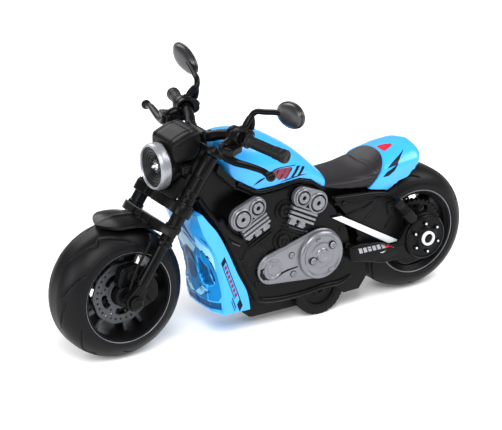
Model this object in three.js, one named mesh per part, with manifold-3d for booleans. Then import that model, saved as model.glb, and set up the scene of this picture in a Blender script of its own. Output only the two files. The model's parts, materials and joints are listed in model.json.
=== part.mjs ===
// Pull-back toy cruiser motorcycle, about 1:13 scale. Millimetres, +X forward, +Y rider's left,
// +Z up, origin on the ground under the middle of the machine.
import * as THREE from 'three';
import { mergeVertices } from 'three/addons/utils/BufferGeometryUtils.js';
import { ParametricGeometry } from 'three/addons/geometries/ParametricGeometry.js';
import Module from 'manifold-3d';

const wasm = await Module();
wasm.setup();

// ---------- driving dimensions ----------
const GAP = 0.3; // room between pieces that meet
const FRONT_AXLE = [64, 26]; // x, z
const REAR_AXLE = [-65, 25];
const DRIVE_AXLE = [-20, 11];
const FRONT_TYRE = { radius: 26, bead: 18, half: 11, power: 1.8, axle: FRONT_AXLE };
const REAR_TYRE = { radius: 25, bead: 17.5, half: 11.5, power: 2.1, axle: REAR_AXLE };
const TYRE_SEGMENTS = 32;
const HEAD_TUBE_R = 3.8;
const RIM_SEGMENTS = 28;
const TYRE_CROWN = 2; // half width of the flat crown the tyre stands on
const BEAD_WALL = 0.7; // rubber inside the bead radius
const AXLE_R = 1.5;
const RAKE = THREE.MathUtils.degToRad(34); // fork lean from upright
const STEER_TOP = [26, 77]; // point on the steering axis, level with the upper yoke
const LEG_Y = 14; // fork leg centre, each side
const LEG_AHEAD = 3; // fork legs ahead of the steering axis
const LEG_R = 2.75;
const LEG_COLLAR_R = 3.2;
const STEM_R = 2.2;
const SHELL_Y = 8; // half width of the frame's middle
const BLOCK_Y = 13; // half width of the engine block
const LAMP_Z = 71; // headlight centre height
const LAMP_R = 8.9;
const DRIVE_SEGMENTS = 24;
const TEETH = { drive: 12, idler: 14, barrel: 26 };
const MOTOR = { x0: -27, x1: 10, z0: 3.5, z1: 23.5, half: 6.5, wall: 1 };
const GEAR_MODULE = 0.6;
const IDLER_AXLE = [-12.5, 13.1];
const BARREL_AXLE = [-0.5, 13.1];
const GEAR_HALF = 1.5; // half face width of the gears

const SIDES = [['left', 1], ['right', -1]];

// ---------- finishes ----------
function finish(colour, roughness, metalness = 0) {
  return () => new THREE.MeshStandardMaterial({ color: colour, roughness, metalness });
}
const black = finish('#16161a', 0.4);
const satin = finish('#2b2a2e', 0.5);
const rubber = finish('#1a1a1c', 0.75);
const blue = finish('#58beff', 0.25);
const grey = finish('#a7a9ac', 0.4, 0.4);
const silver = finish('#d2d4d8', 0.25, 0.8);
const steel = finish('#9a9ca0', 0.3, 0.9);
const lens = finish('#3c3f44', 0.1, 0.3);
const motorPlastic = finish('#d8d4c8', 0.5);

// ---------- making solids ----------
const MERGE_DISTANCE = 1e-4;

// A closed solid of a three.js geometry, with doubled points merged and faces turned outwards.
function solid(geometry) {
  const bare = new THREE.BufferGeometry();
  bare.setAttribute('position', geometry.getAttribute('position').clone());
  if (geometry.index) bare.setIndex(geometry.index.clone());
  const merged = mergeVertices(bare, MERGE_DISTANCE);
  const points = merged.getAttribute('position');
  const corner = [new THREE.Vector3(), new THREE.Vector3(), new THREE.Vector3()];
  const triangles = [];
  let volume = 0;
  for (let i = 0; i < merged.index.count; i += 3) {
    const ids = [0, 1, 2].map((k) => merged.index.getX(i + k));
    if (new Set(ids).size < 3) continue;
    ids.forEach((id, k) => corner[k].fromBufferAttribute(points, id));
    volume += corner[0].dot(corner[1].clone().cross(corner[2]));
    triangles.push(ids);
  }
  const facing = volume > 0 ? triangles : triangles.map(([a, b, c]) => [a, c, b]);
  return new wasm.Manifold(new wasm.Mesh({
    numProp: 3,
    vertProperties: new Float32Array(points.array),
    triVerts: new Uint32Array(facing.flat()),
  }));
}

function join(...pieces) {
  return pieces.reduce((sum, piece) => sum.add(piece));
}

function cut(body, ...tools) {
  return tools.reduce((rest, tool) => rest.subtract(tool), body);
}

// An outline [[x, z], ...] with each corner rounded off.
function roundedShape(outline, radius) {
  const corners = outline.map(([x, z]) => new THREE.Vector2(x, z));
  const shape = new THREE.Shape();
  corners.forEach((corner, i) => {
    const before = corners[(i + corners.length - 1) % corners.length];
    const after = corners[(i + 1) % corners.length];
    const [entry, exit] = [before, after].map((next) => {
      const length = corner.distanceTo(next);
      return corner.clone().lerp(next, Math.min(radius, length * 0.48) / length);
    });
    if (i === 0) shape.moveTo(entry.x, entry.y);
    else shape.lineTo(entry.x, entry.y);
    if (radius > 0) shape.quadraticCurveTo(corner.x, corner.y, exit.x, exit.y);
  });
  shape.closePath();
  return shape;
}

// A shape in the X-Z plane, extruded across the machine between two distances from its middle.
function slab(shape, side, near, far, curveSegments = 2) {
  const depth = far - near;
  const geometry = new THREE.ExtrudeGeometry(shape, { depth, bevelEnabled: false, curveSegments });
  geometry.rotateX(Math.PI / 2);
  geometry.translate(0, side > 0 ? far : -near, 0);
  return solid(geometry);
}

function plate(outline, side, near, far, radius = 0) {
  return slab(roundedShape(outline, radius), side, near, far);
}

// An outline [[x, y], ...] standing upright between two heights.
function column(outline, z0, z1) {
  const depth = z1 - z0;
  const geometry = new THREE.ExtrudeGeometry(roundedShape(outline, 0), { depth, bevelEnabled: false });
  geometry.translate(0, 0, z0);
  return solid(geometry);
}

// A plate through the middle, the same on both sides.
function across(outline, half, radius = 0) {
  return plate(outline, 1, -half, half, radius);
}

// The outline round two circles of different size.
function teardrop([x1, z1, r1], [x2, z2, r2]) {
  const along = Math.atan2(z2 - z1, x2 - x1);
  const lean = Math.acos((r1 - r2) / Math.hypot(x2 - x1, z2 - z1));
  const shape = new THREE.Shape();
  shape.absarc(x1, z1, r1, along + lean, along - lean + 2 * Math.PI, false);
  shape.absarc(x2, z2, r2, along - lean, along + lean, false);
  shape.closePath();
  return shape;
}

// A cylinder lying across the machine.
function disc([x, z], radius, side, near, far, segments = 24) {
  const geometry = new THREE.CylinderGeometry(radius, radius, far - near, segments);
  geometry.translate(x, side * (near + far) / 2, z);
  return solid(geometry);
}

// A body of revolution about a line across the machine, from [radius, y] points.
function turned(profile, [x, z], segments = 32, phase = 0) {
  const points = profile.map(([r, y]) => new THREE.Vector2(r, y));
  const geometry = new THREE.LatheGeometry(points, segments, phase);
  geometry.translate(x, 0, z);
  return solid(geometry);
}

// A body of revolution standing between two points, from [radius, distance] points.
function spindle(profile, from, to, segments = 12) {
  const start = new THREE.Vector3(...from);
  const direction = new THREE.Vector3(...to).sub(start).normalize();
  const points = profile.map(([r, d]) => new THREE.Vector2(r, d));
  const geometry = new THREE.LatheGeometry(points, segments);
  const upright = new THREE.Vector3(0, 1, 0);
  geometry.applyQuaternion(new THREE.Quaternion().setFromUnitVectors(upright, direction));
  geometry.translate(start.x, start.y, start.z);
  return solid(geometry);
}

function rod(from, to, r0, r1 = r0, segments = 12) {
  const length = new THREE.Vector3(...from).distanceTo(new THREE.Vector3(...to));
  return spindle([[0, 0], [r0, 0], [r1, length], [0, length]], from, to, segments);
}

function ball([x, y, z], radius, segments = 12) {
  const geometry = new THREE.SphereGeometry(radius, segments, segments / 2);
  geometry.translate(x, y, z);
  return solid(geometry);
}

function block(x0, x1, y0, y1, z0, z1) {
  const geometry = new THREE.BoxGeometry(x1 - x0, y1 - y0, z1 - z0);
  geometry.translate((x0 + x1) / 2, (y0 + y1) / 2, (z0 + z1) / 2);
  return solid(geometry);
}

// A round bar along a smooth curve through the given points.
function bent(points, radius, steps, sides = 10) {
  const knots = points.map((point) => new THREE.Vector3(...point));
  const path = new THREE.CatmullRomCurve3(knots, false, 'centripetal');
  const shape = new THREE.Shape();
  for (let i = 0; i < sides; i += 1) {
    const angle = (2 * Math.PI * i) / sides;
    const corner = [radius * Math.cos(angle), radius * Math.sin(angle)];
    if (i === 0) shape.moveTo(...corner);
    else shape.lineTo(...corner);
  }
  shape.closePath();
  return solid(new THREE.ExtrudeGeometry(shape, { steps, extrudePath: path, bevelEnabled: false }));
}

// A rounded hull along X. Each station is [x, half width, bottom z, widest z, top z].
function hull(stations, fullness, sides = 16) {
  const rows = stations.length + 1;
  const shapeAt = (u, v, target) => {
    const row = Math.round(v * rows);
    const [x, half, bottom, middle, top] = stations[Math.min(Math.max(row - 1, 0), stations.length - 1)];
    const open = row > 0 && row < rows ? 1 : 0;
    const [c, s] = [Math.cos(2 * Math.PI * u), Math.sin(2 * Math.PI * u)];
    const [reachY, reachZ] = [c, s].map((t) => open * Math.sign(t) * Math.abs(t) ** (2 / fullness));
    target.set(x, half * reachY, middle + reachZ * (s > 0 ? top - middle : middle - bottom));
  };
  return solid(new ParametricGeometry(shapeAt, sides, rows));
}

// A faceted body through level sections. Each is its height, then its corners [x, y] in order.
function stacked(sections) {
  const corners = sections[0].length - 1;
  const rows = sections.length + 1;
  const shapeAt = (u, v, target) => {
    const row = Math.round(v * rows);
    const [z, ...outline] = sections[Math.min(Math.max(row - 1, 0), sections.length - 1)];
    const [x, y] = outline[Math.round(u * corners) % corners];
    const middle = outline.reduce((sum, corner) => sum + corner[0], 0) / corners;
    const open = row > 0 && row < rows;
    target.set(open ? x : middle, open ? y : 0, z);
  };
  return solid(new ParametricGeometry(shapeAt, corners, rows));
}

// ---------- the steering axis ----------
// Distance down the axis, distance ahead of it, and y, to a point in the machine's frame.
function steer(down, ahead, y) {
  const x = STEER_TOP[0] + down * Math.sin(RAKE) + ahead * Math.cos(RAKE);
  const z = STEER_TOP[1] - down * Math.cos(RAKE) + ahead * Math.sin(RAKE);
  return [x, y, z];
}

// An outline given as [down, ahead] pairs about the steering axis, as [x, z] pairs.
function steerOutline(pairs) {
  return pairs.map(([down, ahead]) => {
    const [x, , z] = steer(down, ahead, 0);
    return [x, z];
  });
}

const YOKE_TOP = [0, 2.5]; // the upper yoke, from and to, down the axis
const YOKE_LOW = [23.4, 27.8];
const AXLE_BACK = FRONT_AXLE[0] - STEER_TOP[0];
const AXLE_DOWN = AXLE_BACK * Math.sin(RAKE) + (STEER_TOP[1] - FRONT_AXLE[1]) * Math.cos(RAKE);

// A rod at each fork leg, between two distances down the axis.
function atLegs(from, to, radius) {
  return SIDES.map(([, side]) => {
    const y = side * LEG_Y;
    return rod(steer(from, LEG_AHEAD, y), steer(to, LEG_AHEAD, y), radius);
  });
}

// A rod along the steering axis.
function onAxis(from, to, radius, segments = 16) {
  return rod(steer(from, 0, 0), steer(to, 0, 0), radius, radius, segments);
}

// A slab across the fork, from [down, ahead] pairs about the steering axis.
function forkSlab(pairs, half, radius = 0) {
  return across(steerOutline(pairs), half, radius);
}

// ---------- the assembly ----------
const motorcycle = new THREE.Group();
const groups = {};
for (const name of ['chassis', 'fork', 'front_wheel', 'rear_wheel', 'drive', 'idler', 'barrel']) {
  groups[name] = new THREE.Group();
  motorcycle.add(groups[name]);
}

function add(group, name, body, material) {
  const { vertProperties, triVerts } = body.getMesh();
  const geometry = new THREE.BufferGeometry();
  geometry.setAttribute('position', new THREE.BufferAttribute(vertProperties, 3));
  geometry.setIndex(new THREE.BufferAttribute(triVerts, 1));
  geometry.computeVertexNormals();
  const mesh = new THREE.Mesh(geometry, material());
  mesh.name = name;
  groups[group].add(mesh);
}

// ---------- wheels ----------
// Half the outer curve of a tyre, from the bead to the edge of the flat crown.
function tyreCurve({ radius, bead, half, power }) {
  const steps = 4;
  const flat = radius / Math.cos(Math.PI / TYRE_SEGMENTS);
  return Array.from({ length: steps + 1 }, (_, i) => {
    const angle = (Math.PI / 2) * (i / steps);
    const y = TYRE_CROWN + (half - TYRE_CROWN) * Math.cos(angle) ** (2 / power);
    return [bead + (flat - bead) * Math.sin(angle) ** (2 / power), y];
  });
}

function tyre(spec) {
  const left = tyreCurve(spec);
  const right = left.map(([r, y]) => [r, -y]);
  const bore = spec.bead - BEAD_WALL;
  const lip = spec.half - 0.5;
  const profile = [...right, ...left.reverse(), [bore, lip], [bore, -lip]];
  return turned([...profile, profile[0]], spec.axle, TYRE_SEGMENTS, Math.PI / TYRE_SEGMENTS);
}

// Barrel, hub and spokes of a wheel in one moulding.
function rim({ bead, half, axle }, spokes, spokeWidth, hubR, hubHalf) {
  const outer = bead - BEAD_WALL - GAP;
  const face = half - 0.6;
  const barrel = turned([
    [outer, -face], [outer, face], [outer - 1, face], [outer - 2, face - 1.5], [outer - 2.4, 0],
    [outer - 2, 1.5 - face], [outer - 1, -face], [outer, -face],
  ], axle, RIM_SEGMENTS);
  const hub = disc(axle, hubR, 1, -hubHalf, hubHalf, 12);
  const bars = Array.from({ length: spokes }, (_, i) => {
    const geometry = new THREE.BoxGeometry(outer - 1, 2.4, spokeWidth);
    geometry.translate((outer - 1) / 2 + 0.2, 0, 0);
    geometry.rotateY((2 * Math.PI * (i + 0.5)) / spokes);
    geometry.translate(axle[0], 0, axle[1]);
    return solid(geometry);
  });
  return cut(join(barrel, hub, ...bars), disc(axle, AXLE_R + GAP, 1, -20, 20, 10));
}

// A drilled disc round a hub.
function drilled(axle, bore, radius, side, near, far, holes, holeR, holeCircle) {
  const ring = cut(disc(axle, radius, side, near, far, 24), disc(axle, bore, side, near - 1, far + 1, 12));
  const drills = Array.from({ length: holes }, (_, i) => {
    const angle = (2 * Math.PI * i) / holes;
    const centre = [axle[0] + holeCircle * Math.cos(angle), axle[1] + holeCircle * Math.sin(angle)];
    return disc(centre, holeR, side, near - 1, far + 1, 6);
  });
  return cut(ring, ...drills);
}

function addWheels() {
  const [frontHub, rearHub] = [4.5, 5];
  add('front_wheel', 'front_tyre', tyre(FRONT_TYRE), rubber);
  add('front_wheel', 'front_rim', rim(FRONT_TYRE, 10, 1.5, frontHub, 9.5), black);
  for (const [word, side] of SIDES) {
    const brake = drilled(FRONT_AXLE, frontHub + GAP, 12, side, 4.4, 5.4, 8, 1, 8.6);
    add('front_wheel', `front_disc_${word}`, brake, steel);
  }
  add('rear_wheel', 'rear_tyre', tyre(REAR_TYRE), rubber);
  add('rear_wheel', 'rear_rim', rim(REAR_TYRE, 5, 4, rearHub, 10.4), black);
  add('rear_wheel', 'rear_pulley', drilled(REAR_AXLE, rearHub + GAP, 13, 1, 7.2, 9.8, 6, 1.8, 9.2), black);
  add('rear_wheel', 'rear_disc', drilled(REAR_AXLE, rearHub + GAP, 11.5, -1, 7.8, 8.8, 6, 1, 8.6), steel);
}

// A pin across the machine with a larger cap at each end.
function cappedPin([x, z], reach, capR, capLength) {
  const end = reach + capLength;
  return turned([
    [0, -end], [capR * 0.8, -end], [capR, 0.5 - end], [capR, -reach], [AXLE_R, -reach],
    [AXLE_R, reach], [capR, reach], [capR, end - 0.5], [capR * 0.8, end], [0, end],
  ], [x, z], 12);
}

// ---------- fork and handlebar ----------
function forkLeg(side) {
  const y = side * LEG_Y;
  const profile = [
    [0, 0], [LEG_R, 0], [LEG_R, 29], [LEG_COLLAR_R, 29.4], [LEG_COLLAR_R, 31.2], [2.6, 31.6], [2.6, 35.4],
    [3.1, 35.8], [3.1, 37.4], [2.2, 38], [2.1, AXLE_DOWN - 4], [0, AXLE_DOWN - 4],
  ];
  const top = YOKE_TOP[1] + GAP;
  const tube = spindle(profile, steer(top, LEG_AHEAD, y), steer(top + 10, LEG_AHEAD, y), 10);
  const lug = disc(FRONT_AXLE, 3.6, side, 11.9, 16.1, 12);
  return cut(join(tube, lug), disc(FRONT_AXLE, AXLE_R + GAP, side, 11, 17, 10));
}

// A plate square to the steering axis with round ends about the fork legs.
function yoke([from, to], endR, back, front) {
  const bridge = forkSlab([[from, back], [to, back], [to, front], [from, front]], LEG_Y);
  return join(bridge, ...atLegs(from, to, endR));
}

function addFork() {
  const stemEnds = [YOKE_TOP[1] + GAP, YOKE_LOW[0] - GAP];
  add('fork', 'steering_stem', onAxis(...stemEnds, STEM_R, 12), steel);
  add('fork', 'upper_yoke', yoke(YOKE_TOP, 3.6, -1.6, 5), black);
  const legHoles = atLegs(YOKE_LOW[0] - 1, YOKE_LOW[1] + 1, LEG_R + GAP);
  add('fork', 'lower_yoke', cut(yoke(YOKE_LOW, 3.9, -1.4, 5.6), ...legHoles), black);
  const brace = forkSlab([[32.7, 3.4], [36.3, 3.4], [36.3, 8.4], [32.7, 8.4]], LEG_Y + 3.4, 0.6);
  add('fork', 'fork_brace', cut(brace, ...atLegs(30, 40, LEG_COLLAR_R + GAP)), black);
  for (const [word, side] of SIDES) add('fork', `fork_leg_${word}`, forkLeg(side), black);
  add('fork', 'front_axle', cappedPin(FRONT_AXLE, 16.4, 2.7, 1.6), black);
  for (const [word, side] of SIDES) {
    const caliper = plate([
      [50.7, 23.4], [57, 19.7], [60, 23], [66, 27.2], [68.3, 32], [66.6, 37.6], [60, 38.5], [54.5, 34.8], [50.8, 29],
    ], side, 6, 11.2, 1.5);
    const clear = [disc(FRONT_AXLE, 5.2, side, 5, 12, 16), ...atLegs(36, AXLE_DOWN, LEG_R + GAP)];
    add('fork', `brake_caliper_${word}`, cut(caliper, ...clear), black);
  }
  addFender();
}

function addFender() {
  const crown = [[28, -9.4], [28.8, -6.6], [29.2, -3], [29.2, 3], [28.8, 6.6], [28, 9.4]];
  const inside = crown.map(([r, y]) => [r - 1.4, y * 0.93]).reverse();
  const ring = turned([...crown, ...inside, crown[0]], FRONT_AXLE, 36);
  const reach = 40;
  const wedge = [-33, -20, -4, 12, 24].map((degrees) => {
    const angle = THREE.MathUtils.degToRad(degrees);
    return [FRONT_AXLE[0] + reach * Math.sin(angle), FRONT_AXLE[1] + reach * Math.cos(angle)];
  });
  const brace = forkSlab([[32.4, 3.1], [36.6, 3.1], [36.6, 8.7], [32.4, 8.7]], 20);
  const plan = column([
    [40, -9.6], [66, -9.6], [69.6, -6.6], [71.6, -2], [71.6, 2], [69.6, 6.6], [66, 9.6], [40, 9.6],
  ], 40, 60);
  const blade = ring.intersect(across([FRONT_AXLE, ...wedge], 15)).intersect(plan);
  add('fork', 'front_fender', cut(blade, brace), black);
}

function addHeadlight() {
  // Bodies of revolution about a fore-and-aft line; distances run forward from the back of the lamp.
  const back = [36, 0, LAMP_Z];
  const ahead = [50, 0, LAMP_Z];
  const bucket = spindle([
    [0, 0], [4.5, 0], [7.2, 1.4], [8.4, 4], [8.6, 7.4], [7.4, 7.4], [7, 5.6], [0, 5],
  ], back, ahead, 20);
  const ear = [[35.4, LAMP_Z - 1.6], [40, LAMP_Z - 1.6], [40, LAMP_Z + 1.6], [35.4, LAMP_Z + 1.6]];
  const ears = SIDES.map(([, side]) => plate(ear, side, 7.6, 10.9));
  const room = [onAxis(0, 30, HEAD_TUBE_R + 2 * GAP), ...atLegs(0, 20, LEG_R + GAP)];
  add('fork', 'headlight_bucket', cut(join(bucket, ...ears), ...room), black);
  const ring = spindle([
    [7.8, 7.7], [LAMP_R, 7.9], [LAMP_R, 10.6], [8.5, 12], [7.8, 12], [7.8, 7.7],
  ], back, ahead, 24);
  add('fork', 'headlight_ring', ring, silver);
  const glass = spindle([
    [0, 7.9], [6.4, 7.9], [7.5, 9], [7.5, 10.8], [6.8, 11.2], [2, 10.9], [1.4, 11.5], [0, 11.7],
  ], back, ahead, 20);
  add('fork', 'headlight_lens', glass, lens);
  const pod = hull([
    [30.6, 6.8, 77, 79.4, 82], [32.4, 8.3, 75.5, 79, 83.8], [36.4, 8.9, 73.6, 78.6, 84.9],
    [40.4, 8.6, 73.8, 78.4, 83.2], [42.6, 7.6, 75, 78.6, 80.8],
  ], 3.6);
  const lampRoom = rod([30, 0, LAMP_Z], [50, 0, LAMP_Z], LAMP_R, LAMP_R, 20);
  const yokeRoom = forkSlab([[-GAP, -5], [12, -5], [12, 7.6], [-GAP, 7.6]], 20);
  add('fork', 'instrument_pod', cut(pod, lampRoom, yokeRoom), black);
}

// Points of the handlebar on one side, from the middle out to the end of the grip.
function barPoints(side) {
  return [[26.9, 0, 80.6], [27, 5.5, 81], [24.4, 11.5, 83], [22.6, 17.5, 84.4], [21.3, 23.5, 84.1]]
    .map(([x, y, z]) => [x, side * y, z]);
}
const GRIP_FROM = [20.9, 24.4, 84];
const GRIP_TO = [14.3, 41.4, 81.4];
const BAR_R = 2;
const PIN_R = 1.15; // the end of the bar inside the grip
const PERCH_R = 3.5;

function mirrored([x, y, z], side) {
  return [x, side * y, z];
}

function gripPoint(t, side) {
  return mirrored(GRIP_FROM.map((v, i) => v + (GRIP_TO[i] - v) * t), side);
}

function addHandlebar() {
  const half = SIDES.map(([, side]) => barPoints(side));
  const bar = bent([...half[1].slice(1).reverse(), ...half[0]], BAR_R, 18, 8);
  const pins = SIDES.map(([, side]) => rod(barPoints(side)[4], gripPoint(0.6, side), PIN_R, PIN_R, 8));
  const clampOutline = [[24.8, 79.9], [28, 80.2], [29.4, 79.6], [29.6, 83], [25, 83]];
  const clamps = SIDES.map(([, side]) => plate(clampOutline, side, 4.4, 7.6));
  const yokeRoom = forkSlab([[-GAP, -5], [4, -5], [4, 9], [-GAP, 9]], 20);
  add('fork', 'handlebar', cut(join(bar, ...pins, ...clamps), yokeRoom), black);
  for (const [word, side] of SIDES) {
    const length = new THREE.Vector3(...GRIP_FROM).distanceTo(new THREE.Vector3(...GRIP_TO));
    const sleeve = spindle([
      [0, 0], [2.9, 0], [2.9, 1], [2.1, 1.2], [2.1, length - 1.6], [2.4, length - 1.2], [2.4, length - 0.3],
      [2, length], [0, length],
    ], gripPoint(0, side), gripPoint(1, side), 12);
    const bore = rod(gripPoint(-0.1, side), gripPoint(0.63, side), PIN_R + GAP, PIN_R + GAP, 8);
    add('fork', `grip_${word}`, cut(sleeve, bore), satin);
    addControl(word, side);
    addMirror(word, side);
  }
}

// The clamp of the lever and mirror round the bar, grown by a margin.
function perchBody(side, margin) {
  const radius = PERCH_R + margin;
  return rod(mirrored([22.9, 16.4, 84.5], side), mirrored([21.6, 22.6, 84.2], side), radius, radius, 12);
}

// Lever perch clamped round the bar, with its blade and ball end.
function addControl(word, side) {
  const at = (x, y, z) => mirrored([x, y, z], side);
  const perch = perchBody(side, 0);
  const arm = rod(at(23.4, 19.2, 83.6), at(29.2, 20.4, 81.8), 2, 1.8, 8);
  const blade = [at(29.4, 20.6, 81.2), at(28, 27, 78), at(26.2, 35.6, 78.4), at(24, 45.2, 77.4)];
  const ends = [ball(at(24, 45.4, 77.4), 1.9, 8), ball(at(29.4, 20.4, 81.6), 1.8, 8)];
  const body = join(perch, arm, bent(blade, 1.3, 4, 6), ...ends);
  const bore = bent(barPoints(side), BAR_R + GAP, 10, 8);
  add('fork', `control_${word}`, cut(body, bore), black);
}

// Stem with a kink, and an oval head whose flat glass side faces the rider.
function addMirror(word, side) {
  const at = (x, y, z) => mirrored([x, y, z], side);
  const knots = [
    at(19, 20.4, 87.7), at(16.2, 19.6, 91.6), at(15, 22, 93.2), at(12.6, 31, 95.3), at(11.6, 36, 95.7),
  ];
  const stem = bent(knots, 1.15, 9, 8);
  const foot = rod(at(20.4, 20.4, 86), at(18.9, 20.3, 88.8), 1.9, 1.4, 10);
  const head = new THREE.SphereGeometry(1, 16, 8);
  head.scale(2.6, 9.5, 5.2);
  head.rotateX(side * THREE.MathUtils.degToRad(12));
  head.translate(...at(10.4, 37.6, 96));
  const glassSide = block(0, 10.1, -60, 60, 80, 110);
  add('fork', `mirror_${word}`, cut(join(stem, foot, solid(head)), glassSide, perchBody(side, GAP)), black);
}

// ---------- frame and bodywork ----------
const TANK_FLOOR = [
  [26, 72], [19.5, 64.8], [9.9, 58.9], [2.4, 58.9], [-8.8, 59.9], [-14.2, 58.2], [-20.4, 53.4],
];

// Where the seat meets the tail cowl, from top to bottom.
const SEAT_JOINT = [[-58, 70], [-52.6, 60], [-50.8, 58], [-41.8, 47.9], [-38, 40]];

function addBodywork() {
  const tank = hull([
    [22.6, 9, 64, 70, 77.2], [20.6, 12, 60, 69, 78.9], [16, 13.6, 55, 66, 79.7], [9.5, 14.2, 52, 64, 78.9],
    [2, 14.2, 52, 64, 76.8], [-5, 14, 53, 63, 73], [-11, 13.6, 52, 60, 68.9], [-17.5, 12.8, 50, 57, 62.8],
    [-21.4, 11.8, 50, 54.6, 58.6], [-23, 9.6, 51, 54.2, 56.2],
  ], 2.5);
  const below = across([...TANK_FLOOR, [-26, 53], [-26, 40], [30, 40], [30, 72]], 20);
  add('chassis', 'fuel_tank', cut(tank, below, onAxis(-8, 20, HEAD_TUBE_R + GAP)), blue);

  const saddle = hull([
    [-21.5, 9, 46, 51, 54.2], [-26, 10.8, 46, 51, 54], [-32, 11.8, 44, 51, 54], [-38, 12.2, 43, 51, 54.4],
    [-44, 12.2, 42, 51.4, 55.8], [-49, 12, 42, 52, 58], [-54, 11, 44, 53, 60],
  ], 2.5);
  const seatFloor = across([
    [-15, 54.5], [-21.9, 52.2], [-28.3, 50.6], [-41.3, 48.8], [-60, 44], [-60, 30], [-15, 30],
  ], 20);
  const seatNose = across([
    [-25, 60], [-23.7, 56.4], [-23.5, 52.6], [-19, 52.2], [-10, 50], [-10, 66], [-25, 66],
  ], 20);
  const seatBack = across([...SEAT_JOINT, [-70, 40], [-70, 70]], 20);
  add('chassis', 'seat', cut(saddle, seatFloor, seatBack, seatNose), satin);

  const cowl = hull([
    [-41.6, 12, 36, 51, 54.2], [-46, 12.6, 34, 52, 56.6], [-52.4, 12.8, 34, 53, 58.8], [-59.5, 12.8, 36, 54, 60],
    [-64, 12, 40, 55, 60.2], [-67, 10, 46, 56, 59.6], [-68.6, 7, 50, 56, 58.2],
  ], 2.8);
  const underCowl = across([
    [-36, 48.2], [-42, 47.8], [-48.4, 46.6], [-54.1, 44.2], [-61, 49.8], [-62.4, 53.6], [-74, 55.4],
    [-74, 30], [-36, 30],
  ], 20);
  const wheelWell = disc(REAR_AXLE, 27, 1, -12, 12, 32);
  const seatRoom = across([...SEAT_JOINT.map(([x, z]) => [x - GAP, z]), [-30, 40], [-30, 70]], 20);
  add('chassis', 'tail_cowl', cut(cowl, underCowl, wheelWell, seatRoom), blue);
  addFairing();
}

// Chin fairing: flat sides joined by a front face that leans forward to a blunt nose. Each level is
// z, rear x, front x at the sides, and how far the nose stands ahead of that.
const FAIRING_LEVELS = [
  [10.5, 13.1, 24.8, 2.4], [16.8, 14.2, 24.6, 4.6], [27.3, 19.1, 25.6, 5], [36.1, 22.9, 28.4, 4.2],
  [45.6, 27.9, 33.6, 2.2], [50.6, 31.8, 35.4, 0.8], [53.6, 34, 36.4, 0.2],
];

function addFairing() {
  const sections = FAIRING_LEVELS.map(([z, rear, front, nose]) => {
    const half = [[rear, 13.8], [front, 13.8], [front + nose * 0.85, 8], [front + nose, 2]];
    const otherHalf = half.map(([x, y]) => [x, -y]).reverse();
    return [z, ...half, ...otherHalf];
  });
  add('chassis', 'chin_fairing', stacked(sections), blue);
}

// Outline of the frame and engine between the fork and the rear wheel.
const FRAME_OUTLINE = [
  [25.4, 70.8], [19.3, 64.2], [9.8, 58.5], [2.4, 58.5], [-8.8, 59.5], [-14.4, 57.8], [-20, 53.4], [-21.9, 51.8],
  [-28.3, 50.2], [-41, 48.3], [-41, 44], [-38.4, 38], [-37, 12], [-30, 10.8], [12.7, 10.8], [12.7, 14.5],
  [18.9, 28], [24.1, 39.8], [26.7, 44.9], [31.4, 51], [33.6, 58],
];
const BLOCK_OUTLINE = [
  [-26, 10.8], [12.4, 10.8], [12.4, 14.5], [18.6, 28], [23.6, 39.8], [22, 49], [14, 55], [2, 55.5], [-8, 56],
  [-18, 52.6], [-25, 44], [-31, 34], [-34, 22], [-40, 18.4], [-40.6, 12.4], [-37, 7.6], [-30, 7.4],
];

function frameHalf(side) {
  const middle = plate(FRAME_OUTLINE, side, GAP / 2, SHELL_Y);
  const engine = plate(BLOCK_OUTLINE, side, 1, BLOCK_Y);
  const underTank = TANK_FLOOR.map(([x, z]) => [x, z - 0.4]);
  const trim = plate([...underTank, [-20, 51.8], [-8.8, 56.4], [9.9, 55.4], [19, 60.5], [27, 69]], side, 1, 12.6);
  const head = onAxis(YOKE_TOP[1] + GAP, YOKE_LOW[0] - GAP, HEAD_TUBE_R);
  const bosses = [[[-1.9, 47.8], 2, 13.9], [[-1.6, 35.6], 3.2, 13.2]]
    .map(([centre, radius, far]) => disc(centre, radius, side, BLOCK_Y - 1, far, 12));
  const room = [
    block(MOTOR.x0 - GAP, MOTOR.x1 + GAP, -MOTOR.half - GAP, MOTOR.half + GAP, 0, MOTOR.z1 + GAP),
    side > 0 ? block(-100, 100, -60, GAP / 2, 0, 120) : block(-100, 100, -GAP / 2, 60, 0, 120),
    disc(DRIVE_AXLE, 12, side, 0, 12, 24),
    slab(primaryOutline(2 * GAP), side, BLOCK_Y, 20, 8),
    onAxis(-2, 30, STEM_R + GAP, 10),
    disc(REAR_AXLE, REAR_TYRE.radius + 1, side, -1, 14, 28),
    ...atLegs(0, 30, LEG_SWEEP_R),
    ...SCREWS.map((screw) => disc(screw, SCREW_HEAD_R + GAP, 1, -BLOCK_Y - 1, BLOCK_Y + 1, 8)),
  ];
  return cut(join(middle, engine, trim, head, ...bosses), ...room);
}

// Two screws from the right clamp the halves of the frame together.
const SCREWS = [[-30, 26.5], [13.5, 32]];
const SCREW_HEAD_R = 1.5;
const LEG_SWEEP_R = 6; // room the frame leaves each fork leg to swing in

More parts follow.
